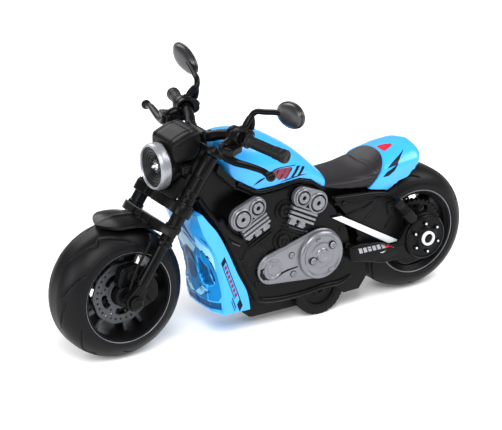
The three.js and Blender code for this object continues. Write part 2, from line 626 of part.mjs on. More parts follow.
function addFrame() {
  for (const [word, side] of SIDES) {
    add('chassis', `body_shell_${word}`, frameHalf(side), black);
    add('chassis', `rear_frame_${word}`, rearFrame(side), black);
    add('chassis', `swingarm_${word}`, swingarm(side), black);
    add('chassis', `shock_${word}`, shock(side), black);
    add('chassis', `primary_cover_${word}`, primaryCover(side), grey);
    add('chassis', `head_cover_front_${word}`, headCover(side, ...FRONT_RINGS), grey);
    add('chassis', `head_cover_rear_${word}`, headCover(side, ...REAR_RINGS), grey);
  }
  SCREWS.forEach(([x, z], i) => {
    const screw = turned([
      [0, -12.6], [SCREW_HEAD_R, -12.6], [SCREW_HEAD_R, -11.4], [0.9, -11], [0.9, 10], [0, 11.4],
    ], [x, z], 8);
    add('chassis', `frame_screw_${['rear', 'front'][i]}`, screw, steel);
  });
  add('chassis', 'rear_axle', cappedPin(REAR_AXLE, 20.4, 3, 1.3), silver);
}

// Side panel behind the engine: seat rail, upright, brace and the long slanting bar.
function rearFrame(side) {
  const panel = plate([
    [-24, 48.8], [-41.8, 47.3], [-48.4, 46], [-54, 43.4], [-57.4, 39], [-58, 24], [-50, 22.4], [-38, 26],
    [-33.6, 36], [-26.4, 45],
  ], side, 12.2, 13);
  const rail = plate([
    [-24, 48.9], [-41.8, 47.4], [-48.4, 46.1], [-54, 43.5], [-57.4, 39], [-55.4, 38.4], [-52.6, 41.4],
    [-47.6, 43.6], [-41.4, 44.9], [-26.6, 46.2],
  ], side, 12.2, 14);
  const bar = plate([[-23.4, 40.6], [-27.9, 40.5], [-55.6, 24], [-49.6, 24]], side, BLOCK_Y + GAP, 14);
  const barFoot = plate([[-34, 34.2], [-34, 36.4], [-55.6, 24], [-49.6, 24]], side, 12.6, 13.6);
  const brace = plate([[-37.4, 37], [-46.4, 44], [-48.8, 43.6], [-41.6, 36]], side, 12.6, 13.6);
  return join(panel, rail, bar, barFoot, brace);
}

function swingarm(side) {
  const arm = plate([
    [-30, 27.6], [-44, 26.2], [-51, 22.2], [-58, 21.6], [-60, 17], [-46, 17.4], [-31, 20.2],
  ], side, 14.3, 17, 1.5);
  const end = slab(teardrop([...REAR_AXLE, 9.6], [-58, 20.6, 6]), side, 14.3, 17, 6);
  const cover = disc(REAR_AXLE, 9, side, 16, 18.6, 18);
  const collar = disc(REAR_AXLE, 4.2, side, 18, 20.1, 12);
  const bolts = Array.from({ length: 6 }, (_, i) => {
    const angle = (Math.PI * i) / 3;
    const centre = [REAR_AXLE[0] + 6.4 * Math.cos(angle), REAR_AXLE[1] + 6.4 * Math.sin(angle)];
    return disc(centre, 0.8, side, 18, 19.4, 6);
  });
  return cut(join(arm, end, cover, collar, ...bolts), disc(REAR_AXLE, AXLE_R + GAP, side, 13, 21, 10));
}

// Damper with a coil spring seen as stacked rings.
function shock(side) {
  const rings = 4;
  const profile = [[0, 0], [2, 0], [2, 1.4]];
  for (let i = 0; i < rings; i += 1) {
    profile.push([2.5, 2 + i * 2.2], [1.6, 3.1 + i * 2.2]);
  }
  profile.push([2.1, 11.4], [2.1, 12.4], [0, 12.4]);
  return spindle(profile, [-51.4, side * 16.8, 42.4], [-59.8, side * 16.8, 32.6], 8);
}

const PRIMARY_LARGE = [-17.6, 27.2];
const PRIMARY_SMALL = [3.8, 25.4];

function primaryOutline(extra) {
  return teardrop([...PRIMARY_LARGE, 10.2 + extra], [...PRIMARY_SMALL, 6.3 + extra]);
}

function primaryCover(side) {
  const body = slab(primaryOutline(0), side, BLOCK_Y + GAP, 15, 8);
  const drum = disc(PRIMARY_LARGE, 9.8, side, 14, 17, 24);
  const hub = disc(PRIMARY_LARGE, 2.4, side, 16, 17.6, 10);
  const cap = disc(PRIMARY_SMALL, 4, side, 14, 15.7, 14);
  return join(body, drum, hub, cap);
}

const FRONT_RINGS = [[17.8, 49.2, 4.8], [11.2, 52.5, 4.1]]; // x, z, radius
const REAR_RINGS = [[-9.3, 52.3, 4.1], [-15.8, 48.9, 4.7]];

// Rocker cover with two ring bosses, cooling fins and two stubs under it.
function headCover(side, first, second) {
  const [x1, z1] = first;
  const [x2, z2] = second;
  const length = Math.hypot(x2 - x1, z2 - z1);
  const along = [(x2 - x1) / length, (z2 - z1) / length];
  const down = [along[1] * Math.sign(along[0]), -Math.abs(along[0])];
  const middle = [(x1 + x2) / 2, (z1 + z2) / 2];
  const point = (a, d) => [middle[0] + a * along[0] + d * down[0], middle[1] + a * along[1] + d * down[1]];
  const box = (a0, a1, d0, d1, far) => {
    const outline = [point(a0, d0), point(a1, d0), point(a1, d1), point(a0, d1)];
    return plate(outline, side, BLOCK_Y + GAP, far);
  };
  const cover = slab(teardrop(first, second), side, BLOCK_Y + GAP, 16, 5);
  const rings = [first, second].map(([x, z, r]) => disc([x, z], r - 1.4, side, 15, 16.8, 12));
  const fins = [4.4, 6.2].map((d) => box(-5.8, 5.8, d, d + 1.1, 15.8));
  const core = box(-5.6, 5.6, 0, 8.6, 15);
  const stubs = [-3, 2.6].map((a) => box(a - 1.7, a + 1.7, 8, 11.4, 14.8));
  return join(cover, ...rings, core, ...fins, ...stubs);
}

// ---------- pull-back motor ----------
function addMotor() {
  const { x0, x1, z0, z1, half, wall } = MOTOR;
  for (const [word, side] of SIDES) {
    const [yNear, yFar] = [GAP / 2, half];
    const outline = [[x0, z0], [x1, z0], [x1, z1], [x0, z1]];
    const [left, right, low, high] = [x0 + wall, x1 - wall, z0 + wall, z1 - wall];
    const inner = [[left, low], [right, low], [right, high], [left, high]];
    const shell = cut(plate(outline, side, yNear, yFar, 2), plate(inner, side, -1, yFar - wall, 1.4));
    const axles = [DRIVE_AXLE, IDLER_AXLE, BARREL_AXLE];
    const bores = axles.map((axle) => disc(axle, AXLE_R + GAP, side, 0, yFar + 1, 10));
    add('chassis', `motor_housing_${word}`, cut(shell, ...bores), motorPlastic);
  }
}

// A spur gear with plain slanted teeth, lying across the machine.
function gear(teeth, axle, phase) {
  const pitchR = (teeth * GEAR_MODULE) / 2;
  const [tipR, rootR] = [pitchR + 0.5, pitchR - 0.75];
  const pitch = (2 * Math.PI) / teeth;
  const outline = [];
  for (let i = 0; i < teeth; i += 1) {
    for (const [offset, radius] of [[-0.27, rootR], [-0.11, tipR], [0.11, tipR], [0.27, rootR]]) {
      const angle = phase + (i + offset) * pitch;
      outline.push([axle[0] + radius * Math.cos(angle), axle[1] + radius * Math.sin(angle)]);
    }
  }
  return plate(outline, 1, -GEAR_HALF, GEAR_HALF);
}

function bearing(from, to) {
  return Math.atan2(to[1] - from[1], to[0] - from[0]);
}

function addGears() {
  // Each gear is turned so that a tooth of one meets a gap of the next.
  const idlerPitch = (2 * Math.PI) / TEETH.idler;
  const barrelPitch = (2 * Math.PI) / TEETH.barrel;
  const drivePhase = bearing(DRIVE_AXLE, IDLER_AXLE);
  const idlerPhase = bearing(IDLER_AXLE, DRIVE_AXLE) + idlerPitch / 2;
  const towardsBarrel = bearing(IDLER_AXLE, BARREL_AXLE);
  const turn = (towardsBarrel - idlerPhase) / idlerPitch;
  const lead = turn - Math.round(turn);
  const barrelPhase = bearing(BARREL_AXLE, IDLER_AXLE) + (0.5 + lead) * barrelPitch;

  const axleBore = disc(DRIVE_AXLE, AXLE_R + GAP, 1, -4, 4, 10);
  add('drive', 'drive_gear', cut(gear(TEETH.drive, DRIVE_AXLE, drivePhase), axleBore), motorPlastic);
  add('drive', 'drive_axle', turned([[0, -7.5], [AXLE_R, -7.5], [AXLE_R, 7.5], [0, 7.5]], DRIVE_AXLE, 10), steel);
  for (const [word, side] of SIDES) {
    const halfStep = Math.PI / DRIVE_SEGMENTS;
    const profile = [
      [0, 7.8], [9.8, 7.8], [11, 8.4], [11, 11], [9.8, 11.6], [8, 11.6], [7, 10.6], [0, 10.6],
    ].map(([r, y]) => [r / Math.cos(halfStep), side * y]);
    const wheel = turned(profile, DRIVE_AXLE, DRIVE_SEGMENTS, halfStep);
    add('drive', `drive_wheel_${word}`, wheel, rubber);
  }
  const idlerShaft = disc(IDLER_AXLE, AXLE_R, 1, -6.2, 6.2, 10);
  add('idler', 'idler_gear', join(gear(TEETH.idler, IDLER_AXLE, idlerPhase), idlerShaft), motorPlastic);
  const drum = cut(disc(BARREL_AXLE, 6.9, 1, 1, 5.2, 18), disc(BARREL_AXLE, 6.1, 1, 1.5, 6, 18));
  const shaft = disc(BARREL_AXLE, AXLE_R, 1, -6.2, 6.2, 10);
  add('barrel', 'spring_barrel', join(gear(TEETH.barrel, BARREL_AXLE, barrelPhase), drum, shaft), motorPlastic);
  add('barrel', 'mainspring', mainspring(), steel);
}

// A flat strip wound into a spiral inside the drum.
function mainspring() {
  const [turns, steps, inner, outer, thickness] = [3, 36, 2.3, 5.4, 0.4];
  const edge = (extra) => Array.from({ length: steps + 1 }, (_, i) => {
    const angle = (2 * Math.PI * turns * i) / steps;
    const radius = inner + ((outer - inner) * i) / steps + extra;
    return [BARREL_AXLE[0] + radius * Math.cos(angle), BARREL_AXLE[1] + radius * Math.sin(angle)];
  });
  return plate([...edge(thickness), ...edge(0).reverse()], 1, 1.9, 4.8);
}

addWheels();
addFork();
addHeadlight();
addHandlebar();
addBodywork();
addFrame();
addMotor();
addGears();

export default motorcycle;
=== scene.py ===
"""Looks of the pull-back toy motorcycle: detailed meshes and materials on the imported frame.

Lengths are written in millimetres and become metres as each mesh is made. +X forward,
+Y the rider's left, +Z up.
"""

import json
import math

import bmesh
import bpy
import numpy as np
from mathutils import Matrix, Vector
from mathutils.bvhtree import BVHTree


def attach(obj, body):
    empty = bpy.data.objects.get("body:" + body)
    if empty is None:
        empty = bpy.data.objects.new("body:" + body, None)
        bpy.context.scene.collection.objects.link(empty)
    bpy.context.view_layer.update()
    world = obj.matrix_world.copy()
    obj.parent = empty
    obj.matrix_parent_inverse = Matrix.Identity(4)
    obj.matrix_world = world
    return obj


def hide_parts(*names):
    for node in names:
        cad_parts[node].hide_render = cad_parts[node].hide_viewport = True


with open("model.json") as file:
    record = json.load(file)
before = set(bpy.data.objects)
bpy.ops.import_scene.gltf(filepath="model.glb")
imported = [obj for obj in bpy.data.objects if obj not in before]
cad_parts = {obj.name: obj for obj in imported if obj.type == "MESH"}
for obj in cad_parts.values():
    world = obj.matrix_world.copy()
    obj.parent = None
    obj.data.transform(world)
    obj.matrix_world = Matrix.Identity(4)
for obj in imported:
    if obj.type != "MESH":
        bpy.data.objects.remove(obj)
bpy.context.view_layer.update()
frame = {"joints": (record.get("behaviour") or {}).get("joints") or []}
MM = 0.001
SIDES = (("left", 1), ("right", -1))
JOINT = {joint["name"]: joint for joint in frame["joints"]}


def axle_of(joint):
    """x and z of a wheel's axle, in millimetres."""
    x, _, z = JOINT[joint]["pos_m"]
    return x / MM, z / MM


FRONT = axle_of("front_wheel_spin")
REAR = axle_of("rear_wheel_spin")
STEER_TOP = axle_of("steering")
RAKE = math.atan2(-JOINT["steering"]["axis"][0], JOINT["steering"]["axis"][2])
LEG_Y = 14
LEG_AHEAD = 3
AXLE_DOWN = (FRONT[0] - STEER_TOP[0]) * math.sin(RAKE) + (STEER_TOP[1] - FRONT[1]) * math.cos(RAKE)


def steer(down, ahead, y):
    """A point given along and ahead of the steering axis."""
    x = STEER_TOP[0] + down * math.sin(RAKE) + ahead * math.cos(RAKE)
    z = STEER_TOP[1] - down * math.cos(RAKE) + ahead * math.sin(RAKE)
    return x, y, z


DOWN = Vector(steer(1, 0, 0)) - Vector(steer(0, 0, 0))
AHEAD = Vector(steer(0, 1, 0)) - Vector(steer(0, 0, 0))


# ---------------------------------------------------------------- materials
def linear(colour):
    """A 0-255 display colour as linear light."""
    scaled = [c / 255 for c in colour]
    return tuple(c / 12.92 if c <= 0.04045 else ((c + 0.055) / 1.055) ** 2.4 for c in scaled)


def moulded(name, colour, roughness, mottle=0.06, grain=0.08, grain_size=0.5, coat=0.0, metal=0.0, wear=0.0,
            gloss=0.5):
    """Moulded plastic, rubber or painted metal: cloudy colour, uneven gloss, fine grain, worn edges."""
    material = bpy.data.materials.new(name)
    material.use_nodes = True
    nodes, links = material.node_tree.nodes, material.node_tree.links
    shader = nodes["Principled BSDF"]
    shader.inputs["Metallic"].default_value = metal
    shader.inputs["Specular IOR Level"].default_value = gloss
    shader.inputs["Coat Weight"].default_value = coat
    shader.inputs["Coat Roughness"].default_value = 0.12
    where = nodes.new("ShaderNodeTexCoord").outputs["Object"]

    def noise(size_mm, detail=3.0):
        node = nodes.new("ShaderNodeTexNoise")
        node.inputs["Scale"].default_value = 1 / (size_mm * MM)
        node.inputs["Detail"].default_value = detail
        links.new(where, node.inputs["Vector"])
        return node.outputs["Fac"]

    def ramp(value, low, high, start=0.3, end=0.7):
        node = nodes.new("ShaderNodeValToRGB")
        node.color_ramp.elements[0].position = start
        node.color_ramp.elements[1].position = end
        node.color_ramp.elements[0].color = (*low, 1)
        node.color_ramp.elements[1].color = (*high, 1)
        links.new(value, node.inputs["Fac"])
        return node.outputs["Color"]

    base = linear(colour)
    shade = ramp(noise(9), [c * (1 - mottle) for c in base], [min(1, c * (1 + mottle)) for c in base])
    if wear:
        edge = ramp(nodes.new("ShaderNodeNewGeometry").outputs["Pointiness"], (0, 0, 0), (wear,) * 3, 0.52, 0.6)
        mix = nodes.new("ShaderNodeMix")
        mix.data_type = "RGBA"
        mix.blend_type = "ADD"
        mix.inputs["Factor"].default_value = 1
        links.new(shade, mix.inputs["A"])
        links.new(edge, mix.inputs["B"])
        shade = mix.outputs["Result"]
    links.new(shade, shader.inputs["Base Color"])
    spread = nodes.new("ShaderNodeMapRange")
    spread.inputs["To Min"].default_value = max(0.03, roughness - 0.07)
    spread.inputs["To Max"].default_value = roughness + 0.07
    links.new(noise(3.5), spread.inputs["Value"])
    links.new(spread.outputs["Result"], shader.inputs["Roughness"])
    bump = nodes.new("ShaderNodeBump")
    bump.inputs["Strength"].default_value = grain
    bump.inputs["Distance"].default_value = 0.2 * MM
    links.new(noise(grain_size, 2), bump.inputs["Height"])
    links.new(bump.outputs["Normal"], shader.inputs["Normal"])
    return material


BLUE = moulded("blue_gloss", (48, 165, 244), 0.3, 0.03, 0.02, 3, coat=0.15)
# Dark blue, half-shade blue and pale blue are painted shade and painted highlights for the fairing's front face
DARK_SHADE_BLUE = moulded("blue_shade", (0, 72, 122), 0.4, 0.12, 0.03, 3, gloss=0.14)
HALF_SHADE_BLUE = moulded("blue_mid", (0, 118, 186), 0.4, 0.1, 0.03, 3, gloss=0.14)
HIGHLIGHT_BLUE = moulded("blue_pale", (140, 210, 248), 0.3, 0.05, 0.02, 3, coat=0.1)
BLACK = moulded("black_gloss", (9, 9, 10), 0.26, 0.2, 0.04, 0.6, wear=0.003, gloss=0.1)
SATIN = moulded("black_satin", (11, 10, 12), 0.4, 0.15, 0.07, 0.5, wear=0.004, gloss=0.12)
SEAT = moulded("seat_satin", (33, 29, 32), 0.42, 0.1, 0.16, 0.45, gloss=0.22)
GRIP = moulded("grip_matte", (18, 17, 19), 0.45, 0.1, 0.1, 0.4, gloss=0.18)
RUBBER = moulded("tyre_rubber", (11, 11, 13), 0.42, 0.15, 0.08, 0.4, gloss=0.13)
ENGINE = moulded("engine_grey", (120, 121, 127), 0.3, 0.05, 0.1, 0.35, metal=0.6, wear=0.05)
SILVER = moulded("silver_paint", (150, 152, 158), 0.32, 0.04, 0.08, 0.3, metal=0.6)
RIM_LINE = moulded("rim_line", (120, 123, 128), 0.32, 0.04, 0.06, 0.3, metal=0.6)
STEEL = moulded("disc_grey", (70, 73, 77), 0.38, 0.06, 0.1, 0.3, metal=0.3, gloss=0.3)
SCREW = moulded("screw_steel", (165, 166, 170), 0.3, 0.06, 0.08, 0.3, metal=0.9)
LENS = moulded("lens_smoke", (14, 14, 16), 0.25, 0.1, 0.02, 1.0, gloss=0.14)
BULB = moulded("bulb_bright", (200, 203, 210), 0.15, 0.02, 0.02, 1.0, metal=0.7)
SHELL = moulded("mirror_shell", (30, 30, 33), 0.3, 0.05, 0.02, 2.0, gloss=0.6)
MIRROR = moulded("mirror_plastic", (40, 41, 43), 0.2, 0.05, 0.02, 2.0, coat=0.3, metal=0.2)
MOTOR = moulded("motor_black", (18, 18, 20), 0.5, 0.08, 0.1, 0.5, gloss=0.15)
NYLON = moulded("gear_nylon", (206, 202, 190), 0.45, 0.05, 0.06, 0.5)
WHITE = moulded("white_paint", (214, 218, 223), 0.35, 0.02, 0.04, 0.6)
RED = moulded("red_print", (190, 10, 44), 0.35, 0.04, 0.02, 1.0)
PINK = moulded("magenta_print", (120, 14, 52), 0.35, 0.06, 0.02, 1.0)
INK = moulded("black_print", (12, 15, 24), 0.35, 0.1, 0.02, 1.0, gloss=0.15)


# ---------------------------------------------------------------- meshes
def placed(name, data):
    """A new object for this data, in the scene."""
    thing = bpy.data.objects.new(name, data)
    bpy.context.scene.collection.objects.link(thing)
    return thing


def finished(name, data, material, smooth, gap, collapse=False):
    """An object from a raw mesh: near points joined, faces outward, edges sharp above an angle."""
    cleaned = bmesh.new()
    cleaned.from_mesh(data)
    bmesh.ops.remove_doubles(cleaned, verts=cleaned.verts, dist=gap)
    if collapse:
        bmesh.ops.dissolve_degenerate(cleaned, edges=cleaned.edges, dist=gap)
    bmesh.ops.recalc_face_normals(cleaned, faces=cleaned.faces)
    cleaned.to_mesh(data)
    cleaned.free()
    data.name = name
    data.materials.clear()
    data.materials.append(material)
    shade(data, smooth)
    return placed(name, data)


def made(name, points, faces, material, smooth=32):
    """A mesh object from points in millimetres."""
    data = bpy.data.meshes.new(name)
    data.from_pydata([tuple(float(v) * MM for v in p) for p in points], [], faces)
    return finished(name, data, material, smooth, 1e-7, True)


def skinned(rows, count):
    """Faces between rows of points, each row a closed loop, and one face over each end."""
    faces = []
    for i in range(rows - 1):
        for k in range(count):
            m = (k + 1) % count
            faces.append((i * count + k, i * count + m, (i + 1) * count + m, (i + 1) * count + k))
    return faces + [tuple(range(count)), tuple(range((rows - 1) * count, rows * count))]


def shade(data, smooth):
    data.shade_smooth()
    data.set_sharp_from_angle(angle=math.radians(smooth))


def rounded(points, radius, steps=3, closed=True):
    """A polyline with its corners rounded; each corner may carry its own radius as a third number."""
    out = []
    count = len(points)
    for i, point in enumerate(points):
        here = np.array(point[:2], float)
        reach = point[2] if len(point) > 2 else radius
        if (not closed and i in (0, count - 1)) or reach <= 0:
            out.append(tuple(here))
            continue
        before = np.array(points[i - 1][:2], float)
        after = np.array(points[(i + 1) % count][:2], float)
        ends = []
        for other in (before, after):
            length = max(np.linalg.norm(other - here), 1e-9)
            ends.append(here + (other - here) * min(reach, length * 0.47) / length)
        for k in range(steps + 1):
            t = k / steps
            out.append(tuple((1 - t) ** 2 * ends[0] + 2 * t * (1 - t) * here + t * t * ends[1]))
    return out


def circle(centre, radius, steps=32, start=0.0):
    return [(centre[0] + radius * math.cos(start + 2 * math.pi * i / steps),
             centre[1] + radius * math.sin(start + 2 * math.pi * i / steps)) for i in range(steps)]


def teardrop(first, second, steps=20):
    """The outline round two circles (x, z, radius)."""
    (x1, z1, r1), (x2, z2, r2) = first, second
    along = math.atan2(z2 - z1, x2 - x1)
    lean = math.acos((r1 - r2) / math.hypot(x2 - x1, z2 - z1))
    outline = []
    for (x, z, r), start, sweep in ((first, along + lean, 2 * (math.pi - lean)),
                                    (second, along - lean, 2 * lean)):
        for i in range(steps + 1):
            angle = start + sweep * i / steps
            outline.append((x + r * math.cos(angle), z + r * math.sin(angle)))
    return outline


def sheet_metal(name, loops, thickness, material, bevel=0.25, smooth=32, steps=2):
    """Flat loops in the local X-Y plane, given thickness about Z and bevelled; inner loops are holes."""
    bevel = min(bevel, thickness * 0.45)
    curve = bpy.data.curves.new(name, "CURVE")
    curve.dimensions = "2D"
    curve.fill_mode = "BOTH"
    for loop in loops:
        spline = curve.splines.new("POLY")
        spline.points.add(len(loop) - 1)
        for point, (x, y) in zip(spline.points, loop):
            point.co = (x * MM, y * MM, 0, 1)
        spline.use_cyclic_u = True
    curve.extrude = (thickness / 2 - bevel) * MM
    curve.bevel_depth = bevel * MM
    curve.bevel_resolution = steps
    curve.offset = -bevel * MM
    temporary = placed(name, curve)
    bpy.context.view_layer.update()
    data = bpy.data.meshes.new_from_object(temporary.evaluated_get(bpy.context.evaluated_depsgraph_get()))
    bpy.data.objects.remove(temporary)
    bpy.data.curves.remove(curve)
    return finished(name, data, material, smooth, 2e-7)


def plate(name, outline, side, near, far, material, bevel=0.25, holes=(), radius=0.0):
    """An x-z outline standing between two distances from the machine's middle."""
    outer = rounded(outline, radius) if radius else [p[:2] for p in outline]
    thing = sheet_metal(name, [outer, *holes], far - near, material, bevel)
    upright = Matrix(((1, 0, 0, 0), (0, 0, -1, side * (near + far) / 2 * MM), (0, 1, 0, 0), (0, 0, 0, 1)))
    thing.data.transform(upright)
    return thing


def lathe(name, profile, base, axis, material, segments=64, soft=0.15, closed=False, smooth=32):
    """A body of revolution: (radius, distance) pairs about a line from base along axis."""
    if soft:
        profile = rounded(profile, soft, 2, closed)
    along = Vector(axis).normalized()
    across = along.orthogonal().normalized()
    third = along.cross(across)
    base = Vector(base)
    points, faces = [], []
    rows = len(profile)
    for i in range(segments):
        angle = 2 * math.pi * i / segments
        out = across * math.cos(angle) + third * math.sin(angle)
        points.extend(base + along * d + out * r for r, d in profile)
        j = (i + 1) % segments
        for k in range(rows if closed else rows - 1):
            m = (k + 1) % rows
            faces.append((i * rows + k, j * rows + k, j * rows + m, i * rows + m))
    return made(name, points, faces, material, smooth)


def post(radius, start, end):
    """The lathe profile of a plain cylinder."""
    return [(0, start), (radius, start), (radius, end), (0, end)]


def wheel_lathe(name, profile, axle, material, side=1, **options):
    """A lathe about a line across the machine; distances are from the middle, towards the side."""
    return lathe(name, profile, (axle[0], 0, axle[1]), (0, side, 0), material, **options)


def spline_points(knots, steps):
    """Points along a centripetal curve through the knots, which may carry extra numbers."""
    knots = [np.array(k, float) for k in knots]
    padded = [2 * knots[0] - knots[1], *knots, 2 * knots[-1] - knots[-2]]
    out = []
    for i in range(1, len(padded) - 2):
        p0, p1, p2, p3 = padded[i - 1:i + 3]
        t = [0.0]
        for a, b in ((p0, p1), (p1, p2), (p2, p3)):
            t.append(t[-1] + max(np.linalg.norm((b - a)[:3]), 1e-6) ** 0.5)
        for k in range(steps):
            s = t[1] + (t[2] - t[1]) * k / steps
            a1 = p0 * (t[1] - s) / (t[1] - t[0]) + p1 * (s - t[0]) / (t[1] - t[0])
            a2 = p1 * (t[2] - s) / (t[2] - t[1]) + p2 * (s - t[1]) / (t[2] - t[1])
            a3 = p2 * (t[3] - s) / (t[3] - t[2]) + p3 * (s - t[2]) / (t[3] - t[2])
            b1 = a1 * (t[2] - s) / (t[2] - t[0]) + a2 * (s - t[0]) / (t[2] - t[0])
            b2 = a2 * (t[3] - s) / (t[3] - t[1]) + a3 * (s - t[1]) / (t[3] - t[1])
            out.append(b1 * (t[2] - s) / (t[2] - t[1]) + b2 * (s - t[1]) / (t[2] - t[1]))
    out.append(knots[-1])
    return out


def tube(name, knots, material, radius=1.0, sides=16, steps=6, flat=1.0, up=(0, 0, 1)):
    """A bar with round ends along a smooth curve. Knots are (x, y, z) or (x, y, z, radius);
    flat squeezes it along up."""
    knots = [tuple(k) + ((radius,) if len(k) == 3 else ()) for k in knots]
    line = spline_points(knots, steps)
    centres = [p[:3] for p in line]
    radii = [float(p[3]) for p in line]
    ends = []
    for end, inner in ((0, 1), (-1, -2)):
        outward = centres[end] - centres[inner]
        outward /= np.linalg.norm(outward)
        r = radii[end]
        ends.append([(centres[end] + outward * r * 0.5 * (math.sin(a) - 1), r * max(math.cos(a), 0.02))
                     for a in (0.5, 1.05, 1.57)])
    centres = [*(p for p, _ in reversed(ends[0])), ends[0][0][0] * 0.7 + centres[1] * 0.3, *centres[1:-1],
               ends[1][0][0] * 0.7 + centres[-2] * 0.3, *(p for p, _ in ends[1])]
    radii = [*(r for _, r in reversed(ends[0])), *radii, *(r for _, r in ends[1])]
    points = []
    for i, centre in enumerate(centres):
        before = Vector(centres[max(i - 1, 0)])
        after = Vector(centres[min(i + 1, len(centres) - 1)])
        along = (after - before).normalized()
        sideways = along.cross(Vector(up)).normalized()
        upright = sideways.cross(along).normalized()
        for k in range(sides):
            angle = 2 * math.pi * k / sides
            out = sideways * math.cos(angle) + upright * (flat * math.sin(angle))
            points.append(Vector(centre) + radii[i] * out)
    return made(name, points, skinned(len(centres), sides), material, 50)


def smooth_table(xs, ys, at):
    """Monotone cubic through a table, one column at a time."""
    order = np.argsort(xs)
    xs, ys = np.array(xs, float)[order], np.array(ys, float)[order]
    h = np.diff(xs)
    delta = np.diff(ys) / h
    slope = np.zeros(len(xs))
    for i in range(1, len(xs) - 1):
        if delta[i - 1] * delta[i] > 0:
            w1, w2 = 2 * h[i] + h[i - 1], h[i] + 2 * h[i - 1]
            slope[i] = (w1 + w2) / (w1 / delta[i - 1] + w2 / delta[i])
    slope[0], slope[-1] = delta[0], delta[-1]
    at = np.clip(np.array(at, float), xs[0], xs[-1])
    i = np.clip(np.searchsorted(xs, at) - 1, 0, len(xs) - 2)
    t = (at - xs[i]) / h[i]
    return ((1 + 2 * t) * (1 - t) ** 2 * ys[i] + t * (1 - t) ** 2 * h[i] * slope[i]
            + t * t * (3 - 2 * t) * ys[i + 1] + t * t * (t - 1) * h[i] * slope[i + 1])


def line_at(points, x):
    """Height of a broken line at x; the line runs either way."""
    order = sorted(points)
    return float(np.interp(x, [p[0] for p in order], [p[1] for p in order]))


def loft(name, stations, fullness, material, floor=None, rows=90, sides=96, ends=1.2, shape=None):
    """A rounded hull along X through stations (x, half width, bottom, widest z, top), cut off square
    below the floor line. ends is how far the two ends are rounded; shape bends each (x, y, z)."""
    table = np.array(stations, float)
    low, high = table[:, 0].min(), table[:, 0].max()
    inner = np.linspace(low + ends, high - ends, rows)
    sweep = np.linspace(0, math.pi / 2, 7)[1:]
    xs = [*(low + ends - ends * np.sin(sweep[::-1])), *inner, *(high - ends + ends * np.sin(sweep))]
    shrink = [*(ends * (1 - np.cos(sweep[::-1]))), *[0.0] * rows, *(ends * (1 - np.cos(sweep)))]
    points = []
    for x, inset in zip(xs, shrink):
        half, bottom, middle, top = (float(smooth_table(table[:, 0], table[:, k], [x])[0]) for k in range(1, 5))
        least = line_at(floor, x) if floor else -1e9
        for k in range(sides):
            angle = 2 * math.pi * k / sides
            c, s = math.cos(angle), math.sin(angle)
            y = math.copysign(abs(c) ** (2 / fullness), c) * max(half - inset, 0.1)
            rise = (top - middle if s > 0 else middle - bottom) - inset
            z = middle + math.copysign(abs(s) ** (2 / fullness), s) * max(rise, 0.05)
            if shape:
                y, z = shape(x, y, z)
            points.append((x, y, max(z, least + inset * 0.5)))
    return made(name, points, skinned(len(xs), sides), material, 40)


def triangulated(thing):
    split = bmesh.new()
    split.from_mesh(thing.data)
    bmesh.ops.triangulate(split, faces=split.faces)
    split.to_mesh(thing.data)
    split.free()
    return thing


def carve(thing, *cutters):
    """Takes other meshes out of a mesh, and removes them."""
    for cutter in cutters:
        modifier = thing.modifiers.new("cut", "BOOLEAN")
        modifier.object = cutter
        modifier.operation = "DIFFERENCE"
        modifier.solver = "MANIFOLD"
        settle(thing)
        bpy.data.objects.remove(cutter)
    shade(thing.data, 32)
    return thing


def settle(thing):
    """Makes the object's modifiers part of its mesh."""
    bpy.context.view_layer.update()
    result = bpy.data.meshes.new_from_object(thing.evaluated_get(bpy.context.evaluated_depsgraph_get()))
    old = thing.data
    thing.modifiers.clear()
    thing.data = result
    result.name = old.name
    bpy.data.meshes.remove(old)


def merged(name, *things):
    """Several meshes as one object, keeping their materials."""
    things = [t for group in things for t in (group if isinstance(group, (list, tuple)) else [group])]
    first = things[0]
    if len(things) > 1:
        with bpy.context.temp_override(active_object=first, object=first, selected_objects=things,
                                       selected_editable_objects=things):
            bpy.ops.object.join()
    first.name = name
    first.data.name = name
    return first


def turn(thing, angle, axle):
    """Turns a mesh about a line across the machine."""
    place = Matrix.Translation((axle[0] * MM, 0, axle[1] * MM))
    thing.data.transform(place @ Matrix.Rotation(angle, 4, "Y") @ place.inverted())
    return thing


def spun(thing, angle, axle):
    """A turned copy of a mesh."""
    return turn(placed(thing.name, thing.data.copy()), angle, axle)


def ring_of(thing, count, axle):
    """The mesh and its copies, evenly round an axle."""
    return [thing] + [spun(thing, 2 * math.pi * i / count, axle) for i in range(1, count)]


def piece(thing, body, slot, *nodes):
    """Puts a finished piece on its body, in place of CAD nodes."""
    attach(thing, body)
    if nodes:
        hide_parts(*nodes)
    return thing


def built(node, body, slot, *things):
    """A piece of several meshes, in place of the CAD node it is named after."""
    return piece(merged(f"{node}_detail", *things), body, slot, node)


class Parts(list):
    """The meshes of one piece. Shapes are given for the left and go to the given side."""

    def __init__(self, side=1):
        super().__init__()
        self.side = side

    def at(self, points):
        """Points given for the left, moved to this side."""
        return [(x, self.side * y, z, *rest) for x, y, z, *rest in points]

    def flat(self, outline, near, far, material=BLACK, bevel=0.25, radius=0.0, holes=()):
        """An x-z outline between two distances from the middle."""
        self.append(plate("flat", outline, self.side, near, far, material, bevel, holes, radius))

    def round(self, profile, axle, material=SATIN, segments=64, soft=0.15, closed=False):
        """A (radius, distance from the middle) profile about a line across the machine."""
        self.append(wheel_lathe("round", profile, axle, material, self.side, segments=segments, soft=soft,
                                closed=closed))

    def turned(self, profile, base, axis, material=SATIN, segments=64, soft=0.15, **options):
        """A (radius, distance) profile about any line."""
        self.append(lathe("turned", profile, *self.at([base, axis]), material, segments, soft, **options))

    def bar(self, knots, material=BLACK, radius=1.0, sides=16, steps=6, **options):
        """A round bar along a smooth curve."""
        self.append(tube("bar", self.at(knots), material, radius, sides, steps, **options))


